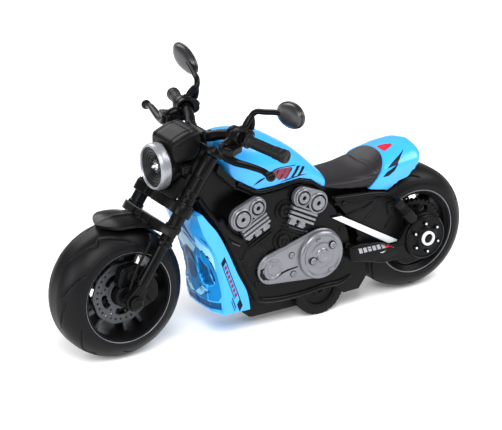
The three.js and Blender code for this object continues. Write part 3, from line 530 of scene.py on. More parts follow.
def surface_of(*things):
    """A tree for finding where rays meet these meshes, in metres."""
    points, faces = [], []
    for thing in things:
        start = len(points)
        points.extend(v.co.copy() for v in thing.data.vertices)
        faces.extend(tuple(start + v for v in polygon.vertices) for polygon in thing.data.polygons)
    return BVHTree.FromPolygons(points, faces)


def laid_on(outline, tree, ray, plane, material, lift=0.06, cell=0.7):
    """A thin mark that lies on a surface: an outline of (a, b) pairs, mapped to 3-D points by plane,
    dropped along ray onto the surface."""
    flat = bmesh.new()
    flat.faces.new([flat.verts.new((a, b, 0)) for a, b in outline])
    bmesh.ops.triangulate(flat, faces=flat.faces)
    for k, normal in ((0, (1, 0, 0)), (1, (0, 1, 0))):
        low, high = min(p[k] for p in outline), max(p[k] for p in outline)
        for cut in np.arange(low + cell, high, cell):
            bmesh.ops.bisect_plane(flat, geom=flat.verts[:] + flat.edges[:] + flat.faces[:],
                                   plane_co=Vector(normal) * cut, plane_no=normal, dist=1e-5)
    ray = Vector(ray).normalized()
    for vertex in flat.verts:
        point = Vector(plane(vertex.co.x, vertex.co.y)) * MM
        hit, normal, _, _ = tree.ray_cast(point - ray * 0.06, ray)
        if hit is None:
            hit, normal = tree.find_nearest(point)[:2]
        if normal.dot(ray) > 0:
            normal = -normal
        vertex.co = hit + normal * lift * MM
    data = bpy.data.meshes.new("mark")
    flat.to_mesh(data)
    flat.free()
    data.materials.append(material)
    data.shade_smooth()
    return placed("mark", data)


# ---------------------------------------------------------------- wheels
GROOVE = [(30, 9.9, 0.14), (17, 8.1, 0.36), (2.8, 5.0, 0.5), (-2.7, 6.9, 0.58), (-13, 5.2, 0.42),
          (-28, 2.5, 0.08)]
GROOVE_PITCH = 60


def groove_depth(angles, ys, radius):
    """How deep the zig-zag tread grooves cut at each angle (degrees) and distance from the middle."""
    deepest = np.zeros_like(angles)
    per_degree = radius * math.pi / 180
    for mirror, offset in ((1, 6), (-1, 36)):
        for turn in range(-1, 360 // GROOVE_PITCH + 1):
            shift = offset + turn * GROOVE_PITCH
            for (a0, y0, w0), (a1, y1, w1) in zip(GROOVE, GROOVE[1:]):
                px, py = (angles - shift - a0) * per_degree, mirror * ys - y0
                dx, dy = (a1 - a0) * per_degree, y1 - y0
                t = np.clip((px * dx + py * dy) / (dx * dx + dy * dy), 0, 1)
                away = np.hypot(px - t * dx, py - t * dy)
                width = w0 + (w1 - w0) * t
                deepest = np.maximum(deepest, np.clip(1.35 * (1 - away / width), 0, 1))
    return 0.55 * deepest


def tyre(name, axle, radius, bead, half, power, around=540, per_side=46):
    angles = np.linspace(0, math.pi / 2, per_side)
    crown = 2.0
    outer_y = crown + (half - crown) * np.cos(angles) ** (2 / power)
    outer_r = bead + (radius - bead) * np.sin(angles) ** (2 / power)
    rib = 0.14 * np.exp(-((outer_r - bead - 1.6) / 0.22) ** 2)
    rib += 0.1 * np.exp(-((outer_r - bead - 2.6) / 0.18) ** 2)
    outer_y = np.minimum(outer_y + rib, half)
    lip = [(bead - 0.65, half - 1.5), (bead - 0.6, half - 0.9), (bead - 0.35, half - 0.45),
           (bead - 0.1, half - 0.25)]
    left = lip + list(zip(outer_r, outer_y)) + [(radius, 1.2), (radius, 0.4)]
    r, y = np.array(left + [(a, -b) for a, b in left[::-1]]).T
    tangent_r, tangent_y = np.gradient(r), np.gradient(y)
    length = np.hypot(tangent_r, tangent_y)
    points, faces = [], []
    rows = len(r)
    for i in range(around):
        degrees = 360 * i / around
        depth = groove_depth(np.full(rows, degrees), y, radius)
        rr, yy = r + tangent_y / length * depth, y - tangent_r / length * depth
        angle = math.radians(degrees)
        points.extend((axle[0] + a * math.cos(angle), b, axle[1] + a * math.sin(angle)) for a, b in zip(rr, yy))
        j = (i + 1) % around
        for k in range(rows):
            m = (k + 1) % rows
            faces.append((i * rows + k, i * rows + m, j * rows + m, j * rows + k))
    return made(name, points, faces, RUBBER, 60)


def rim_ring(name, axle, radius, y, thick=0.24):
    """The bright line round each edge of a rim."""
    section = [(radius + thick * math.cos(a), y + thick * 0.8 * math.sin(a))
               for a in np.linspace(0, 2 * math.pi, 13)[:-1]]
    rings = [wheel_lathe(name, section, axle, RIM_LINE, side, segments=128, soft=0, closed=True, smooth=60)
             for _, side in SIDES]
    return merged(name, rings)


def spoke_plate(axle, hub, reach, root, tip, half, material, bevel=0.35):
    outline = [(axle[0] + hub, axle[1] - root), (axle[0] + reach, axle[1] - tip),
               (axle[0] + reach, axle[1] + tip), (axle[0] + hub, axle[1] + root)]
    return plate("spoke", outline, 1, -half, half, material, bevel)


def front_wheel():
    piece(tyre("front_tyre_detail", FRONT, 26, 18, 11, 1.8), "front_wheel", "tyre_rubber", "front_tyre")
    parts = Parts()
    parts.round([(17.4, -10.4), (17.4, 10.4), (17.0, 10.5), (16.8, 9.6), (16.5, 8.9), (16.3, 6.5), (16.1, 2.4),
                 (16.0, 0), (16.1, -2.4), (16.3, -6.5), (16.5, -8.9), (16.8, -9.6), (17.0, -10.5)], FRONT, SATIN,
                112, closed=True)
    parts.round([(1.8, -9.5), (3.6, -9.5), (4.5, -8.8), (4.5, -6), (3.9, -5.6), (3.9, 5.6), (4.5, 6), (4.5, 8.8),
                 (3.6, 9.5), (1.8, 9.5)], FRONT, SATIN, 48, closed=True)
    for lean in (22, 47):
        # The outer spoke pieces are disc grey: a painted highlight for the lit faces of the black spokes
        for shape in ((3.6, 16.4, 1.3, 0.95, 3.4, SATIN), (12.3, 16.5, 0.75, 0.6, 4.4, STEEL, 0.2)):
            parts += ring_of(turn(spoke_plate(FRONT, *shape), -math.radians(lean), FRONT), 5, FRONT)
    built("front_rim", "front_wheel", "black_plastic", parts)
    piece(rim_ring("front_rim_edge", FRONT, 17.9, 10.6), "front_wheel", "bright_trim")
    slot_edge = [(6.4, -24), (5.9, -16), (6.4, -8), (5.9, 0), (6.4, 8), (5.9, 16), (6.6, 23), (8.2, 22),
                 (8.7, 11), (8.7, 0), (8.6, -11), (8.2, -22)]
    for word, side in SIDES:
        holes = [circle(around(FRONT, 10.4, i * 360 / 29), 0.45, 10) for i in range(29)]
        for i in range(5):
            holes += [circle(around(FRONT, r, i * 72 + turned), 0.42, 10) for r, turned in ((8.8, 12), (7.5, 22))]
            holes.append(rounded([around(FRONT, r, i * 72 - 18 + d) for r, d in slot_edge], 0.6, 3))
        outline = [around(FRONT, 12.1 + 0.18 * math.cos(math.radians(i * 3 * 10)), i * 3) for i in range(120)]
        parts = Parts(side)
        parts.flat(outline, 4.45, 5.35, STEEL, 0.12, holes=[circle(FRONT, 4.9, 40), *holes])
        parts.round([(4.8, 4.3), (5.5, 4.3), (5.5, 5.7), (4.8, 5.7)], FRONT, STEEL, 40, closed=True)
        built(f"front_disc_{word}", "front_wheel", "steel", parts)


def around(axle, radius, degrees):
    """A point on a circle about an axle."""
    angle = math.radians(degrees)
    return axle[0] + radius * math.cos(angle), axle[1] + radius * math.sin(angle)


def rear_wheel():
    piece(tyre("rear_tyre_detail", REAR, 25, 17.5, 11.5, 2.1), "rear_wheel", "tyre_rubber", "rear_tyre")
    parts = Parts()
    parts.round([(16.9, -10.9), (16.9, 10.9), (16.3, 10.9), (15.6, 9.8), (14.9, 9.2), (14.6, 7), (14.3, 2.6),
                 (14.1, 0), (14.3, -2.6), (14.6, -7), (14.9, -9.2), (15.6, -9.8), (16.3, -10.9)], REAR, SATIN,
                112, closed=True)
    parts.round([(1.8, -10.4), (4.2, -10.4), (5, -9.6), (5, 9.6), (4.2, 10.4), (1.8, 10.4)], REAR, SATIN, 48,
                closed=True)
    parts += ring_of(spoke_plate(REAR, 4, 14.8, 2.3, 1.5, 2, SATIN, 0.5), 5, REAR)
    built("rear_rim", "rear_wheel", "black_plastic", parts)
    piece(rim_ring("rear_rim_edge", REAR, 17.05, 11.0), "rear_wheel", "bright_trim")
    bore = circle(REAR, 5.1, 40)
    holes = [circle(around(REAR, 9.3, i * 60), 1.7, 20) for i in range(6)]
    holes += [circle(around(REAR, 9.9, i * 60 + 30), 0.7, 12) for i in range(6)]
    parts = Parts()
    parts.flat(toothed(REAR, 36, ((-0.3, 12.3), (-0.18, 12.95), (0.18, 12.95), (0.3, 12.3))), 7.3, 9.7, BLACK,
               0.2, holes=[bore, *holes])
    parts.round([(5.2, 9.4), (6.8, 9.4), (6.8, 10.2), (5.2, 10.2)], REAR, BLACK, closed=True)
    built("rear_pulley", "rear_wheel", "black_plastic", parts)
    drills = [circle(around(REAR, 10.4, i * 15), 0.45, 10) for i in range(24)]
    drills += [circle(around(REAR, 8.8, i * 15 + 7.5), 0.4, 10) for i in range(24)]
    disc = plate("rear_disc_detail", circle(REAR, 11.5, 96), -1, 7.85, 8.75, STEEL, 0.12, [bore, *drills])
    piece(disc, "rear_wheel", "steel", "rear_disc")


def toothed(axle, count, tooth):
    """The outline of a toothed wheel; a tooth is (share of the pitch, radius) pairs."""
    return [around(axle, r, (i + offset) * 360 / count) for i in range(count) for offset, r in tooth]


# ---------------------------------------------------------------- fork
LEG = [(0, 0), (2.5, 0), (2.75, 0.4), (2.75, 8.6), (2.45, 8.9), (2.45, 9.4), (2.6, 9.6), (2.6, 14.2),
       (2.75, 14.4), (2.75, 15.4), (2.5, 15.6), (2.5, 17.6), (2.75, 17.8), (2.75, 18.4), (2.75, 28.8),
       (3.2, 29.2), (3.2, 31.3), (2.6, 31.7), (2.6, 33), (2.5, 33.2), (2.5, 33.8), (2.6, 34), (2.6, 35.4),
       (3.1, 35.8), (3.1, 37.3), (2.25, 38), (2.1, 42), (2.1, AXLE_DOWN - 5), (1.5, AXLE_DOWN - 4),
       (0, AXLE_DOWN - 4)]
HOSE = [(56.4, 13.6, 51.2), (56.2, 13.6, 47.7), (60.3, 13.6, 41.2), (62.6, 13.6, 37.0), (65.2, 13.6, 30.4)]


def fork():
    for word, side in SIDES:
        leg = Parts(side)
        leg.turned(LEG, steer(2.8, LEG_AHEAD, LEG_Y), DOWN, BLACK, 48, 0.12)
        end = steer(AXLE_DOWN - 5, LEG_AHEAD, LEG_Y)
        leg.flat(teardrop((*FRONT, 3.6), (end[0], end[2], 2.3)), 12.1, 16.0, BLACK, 0.5,
                 holes=[circle(FRONT, 1.85, 24)])
        leg.round([(1.9, 11.9), (3.2, 11.9), (3.5, 12.3), (1.9, 12.3)], FRONT, BLACK, 40, closed=True)
        leg.turned(post(0.9, 0, 1.2), steer(AXLE_DOWN - 7.5, LEG_AHEAD + 1.6, LEG_Y), AHEAD, BLACK, 24)
        built(f"fork_leg_{word}", "fork", "black_plastic", leg)
        caliper(word, side)
        hose = Parts(side)
        hose.bar(HOSE, BLACK, 0.55, 12)
        piece(merged(f"brake_hose_{word}", hose), "fork", "black_plastic")
    cap = [(0, -18), (1.6, -18), (2.5, -17.6), (2.7, -17.1), (2.7, -16.5), (1.5, -16.4), (1.5, 16.4), (2.7, 16.5),
           (2.7, 17.1), (2.5, 17.6), (1.6, 18), (1.4, 17.7), (0, 17.7)]
    piece(wheel_lathe("front_axle_detail", cap, FRONT, BLACK, segments=40), "fork", "black_plastic", "front_axle")
    yoke("upper_yoke", 0, 2.5, 3.6, -1.6, 5.0, True)
    yoke("lower_yoke", 23.4, 27.8, 3.9, -1.4, 5.6, False)
    brace()
    fender()


def in_steering_plane(outline, thickness, down, bevel=0.4, material=BLACK):
    """A plate from (ahead, y) pairs, square to the steering axis."""
    thing = sheet_metal("plate", [outline], thickness, material, bevel)
    origin = Vector(steer(down, 0, 0)) * MM
    thing.data.transform(Matrix(((AHEAD.x, 0, -DOWN.x, origin.x), (AHEAD.y, 1, -DOWN.y, origin.y),
                                 (AHEAD.z, 0, -DOWN.z, origin.z), (0, 0, 0, 1))))
    return thing


def yoke(node, start, end, end_r, back, front, top):
    """A clamp plate with round ends about the legs and a waisted front."""
    left = [(LEG_AHEAD + end_r * math.cos(math.radians(a)), LEG_Y + end_r * math.sin(math.radians(a)))
            for a in range(-20, 201, 20)] + [(back, LEG_Y - end_r - 1)]
    nose = [(front - 0.8, -6), (front, -4), (front, 4), (front - 0.8, 6)]
    parts = Parts()
    parts.append(in_steering_plane(left + [(x, -y) for x, y in left[::-1]] + nose, end - start, (start + end) / 2,
                                   0.45))
    for _, side in SIDES:
        leg = steer(start, LEG_AHEAD, side * LEG_Y)
        if top:
            parts.turned([(0, -0.9), (1.3, -0.9), (1.9, -0.6), (2.1, 0.2), (0, 0.2)], leg, DOWN, SATIN, 32)
        else:
            parts.turned([(2.8, -0.7), (3.5, -0.7), (3.6, 0.2), (2.8, 0.2)], leg, DOWN, BLACK, 40, closed=True)
            for d in (start + 1.2, end - 1.2):
                parts.turned(post(0.9, 0, 0.8), steer(d, front - 0.6, side * 8.6), AHEAD, SATIN, 20)
    if top:
        nut = [(0, -1.0), (1.4, -1.0), (2.3, -0.6), (2.3, 0.2), (0, 0.2)]
        parts.turned(nut, steer(start, 0, 0), DOWN, SATIN, 6, smooth=25)
    built(node, "fork", "black_plastic", parts)


def brace():
    """The bridge over the tyre, hugging the front of each leg."""
    half = [(8.4, 12), (7.4, 15), (5.8, 17.3), (3.7, 17.3), (3.7, 16.4), (5.6, 15.4), (6.0, 13.2), (4.4, 11.2),
            (3.7, 10.4)]
    parts = [in_steering_plane(half + [(x, -y) for x, y in half[::-1]], 3.4, 34.5)]
    for y in (-6, 0, 6):
        rib = [(8.2, y - 0.5), (8.75, y - 0.5), (8.75, y + 0.5), (8.2, y + 0.5)]
        parts.append(in_steering_plane(rib, 2.6, 34.5, 0.15))
    built("fork_brace", "fork", "black_plastic", parts)


def caliper(word, side):
    """Brake caliper with its carrier behind the leg."""
    parts = Parts(side)
    parts.flat([(50.9, 23.4), (57, 19.9), (60, 23), (66, 27.2), (68.2, 32), (66.6, 37.6), (60, 38.4),
                (54.6, 34.8), (51, 29)],
               6.1, 10.2, BLACK, 0.7, 1.6)
    carve(parts[0], wheel_lathe("room", post(5.2, 5, 12), FRONT, SATIN, side, segments=48, soft=0))
    for centre in ((55.6, 31), (54.4, 26), (62.4, 34.6)):
        parts.round([(0, 10), (2.1, 10), (2.1, 10.9), (1.4, 11.2), (0, 11.2)], centre, SATIN, 32)
    parts.flat([(51.4, 25), (54.6, 22), (57.4, 27), (57.8, 33), (54.4, 32)], 9.8, 11.3, BLACK, 0.5, 1.0)
    built(f"brake_caliper_{word}", "fork", "black_plastic", parts)


def fender():
    """Short mudguard, rounded at the front, with a rolled edge and a raised middle."""
    columns, rows = 40, 40
    start, end = -33.0, 15.9
    points, faces = [], []
    for inside in (0, 1):
        for i in range(rows + 1):
            phi = start + (end - start) * i / rows
            t = max(0.0, (phi - 1.0) / (end - 1.0))
            half = max(9.45 * (1 - t ** 1.9) ** (1 / 1.5) if t < 1 else 0.0, 0.4)
            for k in range(columns + 1):
                y = half * math.sin((2 * k / columns - 1) * math.pi / 2)
                drop = (abs(y) / 9.5) ** 2.4
                crest = 0.4 * max(0.0, 1 - abs(y) / 1.5)
                r = 28.95 - drop - 0.5 * t ** 3 + crest * (1 - t) - (1.15 if inside else 0)
                a = math.radians(phi)
                points.append((FRONT[0] + r * math.sin(a), y * (0.97 if inside else 1),
                               FRONT[1] + r * math.cos(a)))
    width = columns + 1
    total = (rows + 1) * width
    for i in range(rows):
        for k in range(columns):
            a, b, c, d = i * width + k, i * width + k + 1, (i + 1) * width + k + 1, (i + 1) * width + k
            faces += [(a, b, c, d), (total + a, total + d, total + c, total + b)]
    rim = [(k, k + 1) for start_of in (0, rows * width) for k in range(start_of, start_of + columns)]
    rim += [(i * width + k, (i + 1) * width + k) for i in range(rows) for k in (0, columns)]
    faces += [(a, b, total + b, total + a) for a, b in rim]
    parts = [made("blade", points, faces, BLACK, 50)]
    for _, side in SIDES:
        stay = Parts(side)
        stay.bar([(47.2, 9.3, 47.6), (48.4, 10.2, 46.2), (50.4, 11.2, 44.6), (52.2, 11.4, 42.4)], BLACK, 0.8, 12,
                 5)
        parts += stay
    built("front_fender", "fork", "black_plastic", parts)


# ---------------------------------------------------------------- headlight and instruments
LAMP_Z = 71
LAMP_BACK = (36, 0, LAMP_Z)


def pod_panel(x, y, z):
    """A flat raised panel on top of the instrument cover, with a groove round it and down its sides."""
    if z > 79 and abs(y) < 7.2:
        groove = 0.3 * math.exp(-((abs(y) - 5.6) / 0.35) ** 2) + 0.3 * math.exp(-((x - 34.4) / 0.35) ** 2)
        z -= groove
    if z < 80:
        y -= math.copysign(0.35 * math.exp(-((z - 78.4 + 0.25 * (x - 36)) / 0.35) ** 2), y)
    return y, z


def lamp():
    ahead = (1, 0, 0)
    bucket = Parts()
    bucket.turned([(0, 0.1), (4.2, 0.1), (6.4, 1.0), (7.8, 2.8), (8.4, 5), (8.6, 6.6), (8.6, 7.6), (7.6, 7.6),
                   (7.2, 5.8), (0, 5.2)], LAMP_BACK, ahead, BLACK, 72, 0.4)
    carve(bucket[0], lathe("room", post(4.5, 0, 34), steer(-2, 0, 0), DOWN, BLACK, 40, 0))
    low, high = LAMP_Z - 1.7, LAMP_Z + 1.7
    for _, side in SIDES:
        ear = Parts(side)
        ear.flat([(36, low), (40.4, low), (40.4, high), (36, high)], 7.6, 10.6, BLACK, 0.4, 0.8)
        ear.round([(0, 10.4), (1.3, 10.4), (1.3, 11.2), (0.9, 11.5), (0, 11.5)], (38.4, LAMP_Z), SATIN, 24)
        bucket += ear
    bucket.append(in_steering_plane([(4.4, -9.5), (6.2, -8.5), (6.2, 8.5), (4.4, 9.5)], 9, 19.3))
    built("headlight_bucket", "fork", "black_plastic", bucket)
    profile = [(7.9, 7.8), (8.75, 7.8), (8.9, 8.1), (8.9, 10.5), (8.75, 11.2), (8.45, 11.8), (8.2, 12), (7.9, 12),
               (7.65, 11.7), (7.6, 11.0), (7.6, 7.8)]
    ring = lathe("headlight_ring_detail", profile, LAMP_BACK, ahead, SILVER, 96, 0.18, closed=True)
    piece(ring, "fork", "bright_trim", "headlight_ring")
    glass = Parts()
    glass.turned([(0, 8.0), (7.5, 8.0), (7.55, 11.0), (7.35, 11.3), (7.1, 11.0), (6.7, 10.9), (6.5, 11.1),
                  (6.3, 10.9), (5.6, 10.7), (5.4, 10.9), (5.2, 10.6), (4.6, 10.4), (4.4, 10.6), (4.2, 10.3),
                  (3.0, 9.9), (2.7, 9.7), (0, 9.6)], LAMP_BACK, ahead, LENS, 80, 0.08)
    for i in range(12):
        c, s = math.cos(math.radians(30 * i)), math.sin(math.radians(30 * i))
        glass.bar([(LAMP_BACK[0] + d, r * c, LAMP_Z + r * s) for d, r in ((9.9, 2.6), (10.2, 4.0))], LENS, 0.24,
                  8, 2)
    built("headlight_lens", "fork", "lens", glass)
    bulb = lathe("headlight_bulb",
                 [(0, 9.4), (1.7, 9.4), (1.5, 9.9), (0.9, 10.1), (0.7, 10.8), (0.4, 11.3), (0, 11.5)], LAMP_BACK,
                 ahead, BULB, 32, 0.15)
    piece(bulb, "fork", "bright_trim")
    pod = loft("pod", [(30.6, 8.0, 76, 79.4, 84), (32, 8.6, 75, 79, 85), (35.4, 9, 73.6, 78.6, 84.6),
                       (40.8, 8.9, 73.2, 78.2, 82.6), (42.8, 8.5, 73.8, 78.2, 81.6)], 6.5, SATIN, rows=50,
               shape=pod_panel)
    lamp_room = lathe("room", post(8.85, -8, 16), LAMP_BACK, ahead, BLACK, 72, 0)
    parts = Parts()
    parts.append(carve(pod, lamp_room,
                       in_steering_plane([(-5, -20), (5.3, -20), (5.3, 20), (-5, 20)], 12, 5.7, 0)))
    parts.turned([(0, 0), (3.0, 0), (3.4, 0.2), (3.4, 0.9), (3.1, 1.1), (2.8, 0.9), (2.7, 0.55), (0, 0.5)],
                 (32.1, 0, 81.3), (-0.75, 0, 0.66), SATIN, 40, 0.1)
    built("instrument_pod", "fork", "black_plastic", parts)


# ---------------------------------------------------------------- handlebar
GRIP_FROM = np.array((20.9, 24.4, 84.0))
GRIP_TO = np.array((14.3, 41.4, 81.4))


def handlebar():
    half = [(27, 5.5, 81), (24.4, 11.5, 83), (22.6, 17.5, 84.4), (21.3, 23.5, 84.1)]
    whole = [(x, -y, z) for x, y, z in half[::-1]] + [(26.9, 0, 80.6)] + half
    parts = [tube("bar", whole, BLACK, 2.05, 28, 8)]
    for _, side in SIDES:
        clamp = Parts(side)
        clamp.flat([(24.9, 80.1), (28, 80.3), (29.3, 79.8), (29.5, 82.8), (25.1, 82.9)], 4.5, 7.5, BLACK, 0.5,
                   0.9)
        for x in (25.9, 28.6):
            clamp.turned(post(0.75, 0, 0.7), (x, 6, 82.6), (0, 0, 1), SATIN, 20)
        clamp.bar([GRIP_FROM, (GRIP_FROM + GRIP_TO) / 2], BLACK, 1.1, 12, 2)
        parts += clamp
    built("handlebar", "fork", "black_plastic", parts)
    for word, side in SIDES:
        grip(word, side)
        control(word, side)
        mirror(word, side)


def grip(word, side):
    length = float(np.linalg.norm(GRIP_TO - GRIP_FROM))
    profile = [(1.4, 0.05), (2.6, 0.05), (2.9, 0.3), (2.9, 0.9), (2.3, 1.3)]
    for d in (2.2, 3.0, 3.8):
        profile += [(2.2, d), (2.08, d + 0.1), (2.08, d + 0.25), (2.2, d + 0.35)]
    profile += [(2.2, length - 6), (2.4, length - 5.7), (2.4, length - 2.8), (2.6, length - 2.5),
                (2.6, length - 0.8), (2.2, length - 0.1), (1.2, length), (1.0, length - 0.25), (0, length - 0.25)]
    parts = Parts(side)
    parts.turned(profile, GRIP_FROM, GRIP_TO - GRIP_FROM, GRIP, 40, 0.07)
    built(f"grip_{word}", "fork", "dark_satin", parts)


def control(word, side):
    """Clamp and switch box, and the brake lever with its ball end."""
    parts = Parts(side)
    parts.turned([(2.2, 0.9), (2.7, 0.5), (3.0, 0), (3.4, 0), (3.6, 0.5), (3.6, 2.3), (3.4, 2.5), (3.4, 2.8),
                  (3.6, 3.0), (3.6, 5.8), (3.2, 6.3), (2.2, 6.3)], (22.9, 16.4, 84.5), (-1.3, 6.2, -0.3), BLACK,
                 48, 0.12, closed=True)
    parts.flat([(15.8, 82.2), (16.6, 86.4), (20, 87.6), (22.6, 87.2), (22, 81.2), (18, 81)], 17.6, 22.2, SATIN,
               0.7, 1.2)
    outline = [(22, 17), (29.8, 18.4), (30.6, 20.6), (29, 27.2), (25.6, 24.6), (22, 23)]
    bracket = sheet_metal("bracket", [rounded([(x, side * y) for x, y in outline], 1)], 3.2, BLACK, 0.7)
    bracket.data.transform(Matrix.Translation((0, 0, 80.7 * MM)))
    parts.append(bracket)
    parts.turned([(0, 0), (1.1, 0), (1.1, 0.6), (0.8, 0.9), (0, 0.9)], (16.2, 19.8, 84.2), (-1, 0, 0.2), SATIN,
                 20)
    parts.bar([(23.2, 19.2, 83.6, 2.3), (26.2, 19.8, 82.7, 1.9), (29.0, 20.3, 81.6, 2.0)], BLACK, 1.4, 16, 5)
    parts.bar([(29.3, 20.5, 81.4, 1.9), (29.3, 21.6, 79.1, 1.9), (28.1, 27, 78, 1.75), (26.3, 35, 78.4, 1.5),
               (24.6, 41, 78.2, 1.35), (24, 44, 77.5, 1.4)], BLACK, 1.2, 20, 8, flat=0.8)
    ball = [(1.9 * math.cos(a), 1.9 * math.sin(a)) for a in np.linspace(-1.3, 1.3, 9)]
    parts.turned([(0, -1.9), *ball, (0, 1.9)], (24, 45.4, 77.4), (0, side, 0), BLACK, 32, 0)
    parts.turned([(0, -1.6), (1.2, -1.6), (1.2, 1.5), (0.9, 1.8), (0, 1.8)], (29.3, 20.5, 81.7), (0.2, 0, 1),
                 SATIN, 24)
    built(f"control_{word}", "fork", "black_plastic", parts)


MIRROR_CENTRE = (10.4, 37.5, 96)
MIRROR_TILT = math.radians(12)


def mirror(word, side):
    """Bent stem on a round foot, and an egg-shaped shell with a rim and a flat glass."""
    sides = 56
    angles = [2 * math.pi * k / sides for k in range(sides)]
    outline = [(9.4 * c * (1 + 0.02 * c),
                5.1 * s * (1 + 0.06 * c)) for c, s in ((math.cos(a), math.sin(a)) for a in angles)]
    tilt = Matrix.Rotation(side * MIRROR_TILT, 3, "X")
    centre = Vector(MIRROR_CENTRE) * Vector((1, side, 1))

    def ring(scale, out):
        return [centre + tilt @ Vector((out, side * y * scale, z * scale)) for y, z in outline]
    sections = [(0.9, 0.15), (0.92, 0.0), (1.0, 0.0), (1.0, 0.35), (0.985, 0.6), (0.95, 0.72), (0.93, 0.62),
                (0.9, 0.6)]
    sections += [(0.9 * math.cos(a) ** 0.7, 0.6 + 1.9 * math.sin(a)) for a in np.linspace(0.12, 1.5, 18)]
    parts = Parts(side)
    parts.append(made("shell", [p for s in sections for p in ring(*s)], skinned(len(sections), sides), SHELL, 40))
    parts.bar([(19, 20.4, 87.4), (16.4, 19.7, 91.2), (15.3, 21.2, 93.1), (14, 25.5, 94.1), (12.5, 31, 95.3),
               (11.4, 35, 95.7)],
              BLACK, 1.12, 18, 8)
    parts.bar([(16.6, 19.8, 91), (18.6, 20.3, 89), (20.2, 20.4, 86.4)], BLACK, 1.35, 14, 4)
    parts.bar([(16.4, 19.9, 91), (16.2, 20.2, 88.6), (16.8, 20.4, 86)], BLACK, 1.1, 14, 4)
    parts.turned([(0, -1.6), (1.7, -1.6), (1.9, -1.2), (1.9, 0.4), (1.5, 0.9), (0, 0.9)], (20, 20.4, 87.1),
                 (-0.45, 0, 0.9), BLACK, 24, 0.08)
    built(f"mirror_{word}", "fork", "black_plastic", parts)
    glass = made(f"mirror_{word}_glass", ring(0.9, 0.1), [tuple(range(sides))], MIRROR, 40)
    glass.modifiers.new("thick", "SOLIDIFY").thickness = 0.25 * MM
    settle(glass)
    piece(glass, "fork", "lens")


# ---------------------------------------------------------------- bodywork
TANK = [(22.6, 9, 64, 70, 77.2), (20.6, 12, 60, 69, 78.9), (16, 13.6, 55, 66, 79.7), (9.5, 14.2, 52, 64, 78.9),
        (2, 14.2, 52, 64, 76.8), (-5, 14, 53, 63, 73), (-11, 13.6, 52, 60, 68.9), (-17.5, 12.8, 50, 57, 62.8),
        (-21.4, 11.8, 50, 54.6, 58.6), (-23, 9.6, 51, 54.2, 56.2)]
TANK_FLOOR = [(26, 72), (19.5, 64.8), (9.9, 58.9), (2.4, 58.9), (-8.8, 59.9), (-14.2, 58.2), (-20.4, 53.4),
              (-26, 53)]
SADDLE = [(-21.5, 9, 46, 51, 54.2), (-26, 10.8, 46, 51, 54), (-32, 11.8, 44, 51, 54), (-38, 12.2, 43, 51, 54.4),
          (-44, 12.2, 42, 51.4, 55.8), (-49, 12, 42, 52, 58), (-54, 11, 44, 53, 60)]
SADDLE_FLOOR = [(-15, 54.5), (-21.9, 52.2), (-28.3, 50.6), (-41.3, 48.8), (-60, 44)]
SADDLE_NOSE = [(-25, 60), (-23.7, 56.4), (-23.5, 52.6), (-19, 52.2), (-5, 52.2), (-5, 70), (-25, 70)]
SEAT_JOINT = [(-58, 70), (-52.6, 60), (-50.8, 58), (-41.8, 47.9), (-38, 40)]
COWL = [(-41.6, 12, 36, 51, 54.2), (-46, 12.6, 34, 52, 56.6), (-52.4, 12.8, 34, 53, 58.8),
        (-59.5, 12.8, 36, 54, 60), (-64, 12.5, 40, 55, 60.2), (-67, 10, 46, 56, 59.6), (-68.6, 7, 50, 56, 58.2)]
COWL_UNDER = [(-36, 48.2), (-42, 47.8), (-48.4, 46.6), (-55, 43.6), (-62.4, 49.4), (-63.6, 53.2), (-66.4, 55.2),
              (-74, 56)]


def room(outline, half=30):
    """A block to carve with: an x-z outline reaching out to both sides."""
    points = [(x, y, z) for y in (-half, half) for x, z in outline]
    count = len(outline)
    faces = [tuple(range(count)), tuple(range(2 * count - 1, count - 1, -1))]
    faces += [(i, (i + 1) % count, count + (i + 1) % count, count + i) for i in range(count)]
    return triangulated(made("room", points, faces, BLACK))


TANK_MARKS = [
    (PINK, [(5.0, 64.2), (2.6, 65.3), (-0.3, 65.5), (-4.6, 65.1), (-5.0, 64.2), (-2.5, 61.3), (0.9, 61),
            (2.2, 62.6)]),
    (INK, [(-4.6, 60.9), (-5.9, 60.9), (-9.2, 64.6), (-7.6, 64.9)]),
    (INK, [(-7.6, 61.1), (-8.9, 60.9), (-11.6, 63.6), (-10.2, 64.1)]),
    (INK, [(0.9, 61), (0.3, 61), (-2.6, 64.6), (-1.9, 65.2), (-1.2, 64.2)]),
    (INK, [(3.2, 62.4), (2.7, 62.1), (0.6, 64.9), (1.3, 65.2)]),
    (INK, [(-2.1, 60.7), (-2.9, 61), (-5.4, 64.3), (-4.8, 65.2), (-4.2, 64.2), (-1.9, 61.4)]),
    (INK, [(0.4, 59.8), (-2.6, 60.5), (-6, 60.9), (-9.4, 61.1), (-12.6, 60.6), (-9.4, 60.7), (-6, 60.4),
           (-2.6, 60)]),
    (INK, [(12, 60.9), (9.9, 62.6), (8.4, 63.1), (6.9, 63.4), (7.0, 62.9), (8.9, 62)]),
    (INK, [(5.2, 64.5), (2.6, 65.8), (-0.3, 66), (-7, 65.5), (-7, 65.2), (-0.3, 65.7), (2.6, 65.4), (4.8, 64.1)])]


def tank():
    body = loft("fuel_tank_detail", TANK, 2.5, BLUE, TANK_FLOOR, rows=120, sides=120, ends=1.5)
    body = carve(body, lathe("room", post(4.1, -8, 20), steer(0, 0, 0), DOWN, BLACK, 48, 0))
    surface = surface_of(body)
    piece(body, "chassis", "blue_plastic", "fuel_tank")
    for word, side in SIDES:
        laid = [on_side(outline, side, surface, mark_colour) for mark_colour, outline in TANK_MARKS]
        piece(merged(f"tank_marks_{word}", laid), "chassis", "blue_plastic")


def on_side(outline, side, surface, mark_colour):
    """A mark seen from the side, as an x-z outline."""
    return laid_on(outline, surface, (0, -side, 0), lambda a, b: (a, side * 20, b), mark_colour)


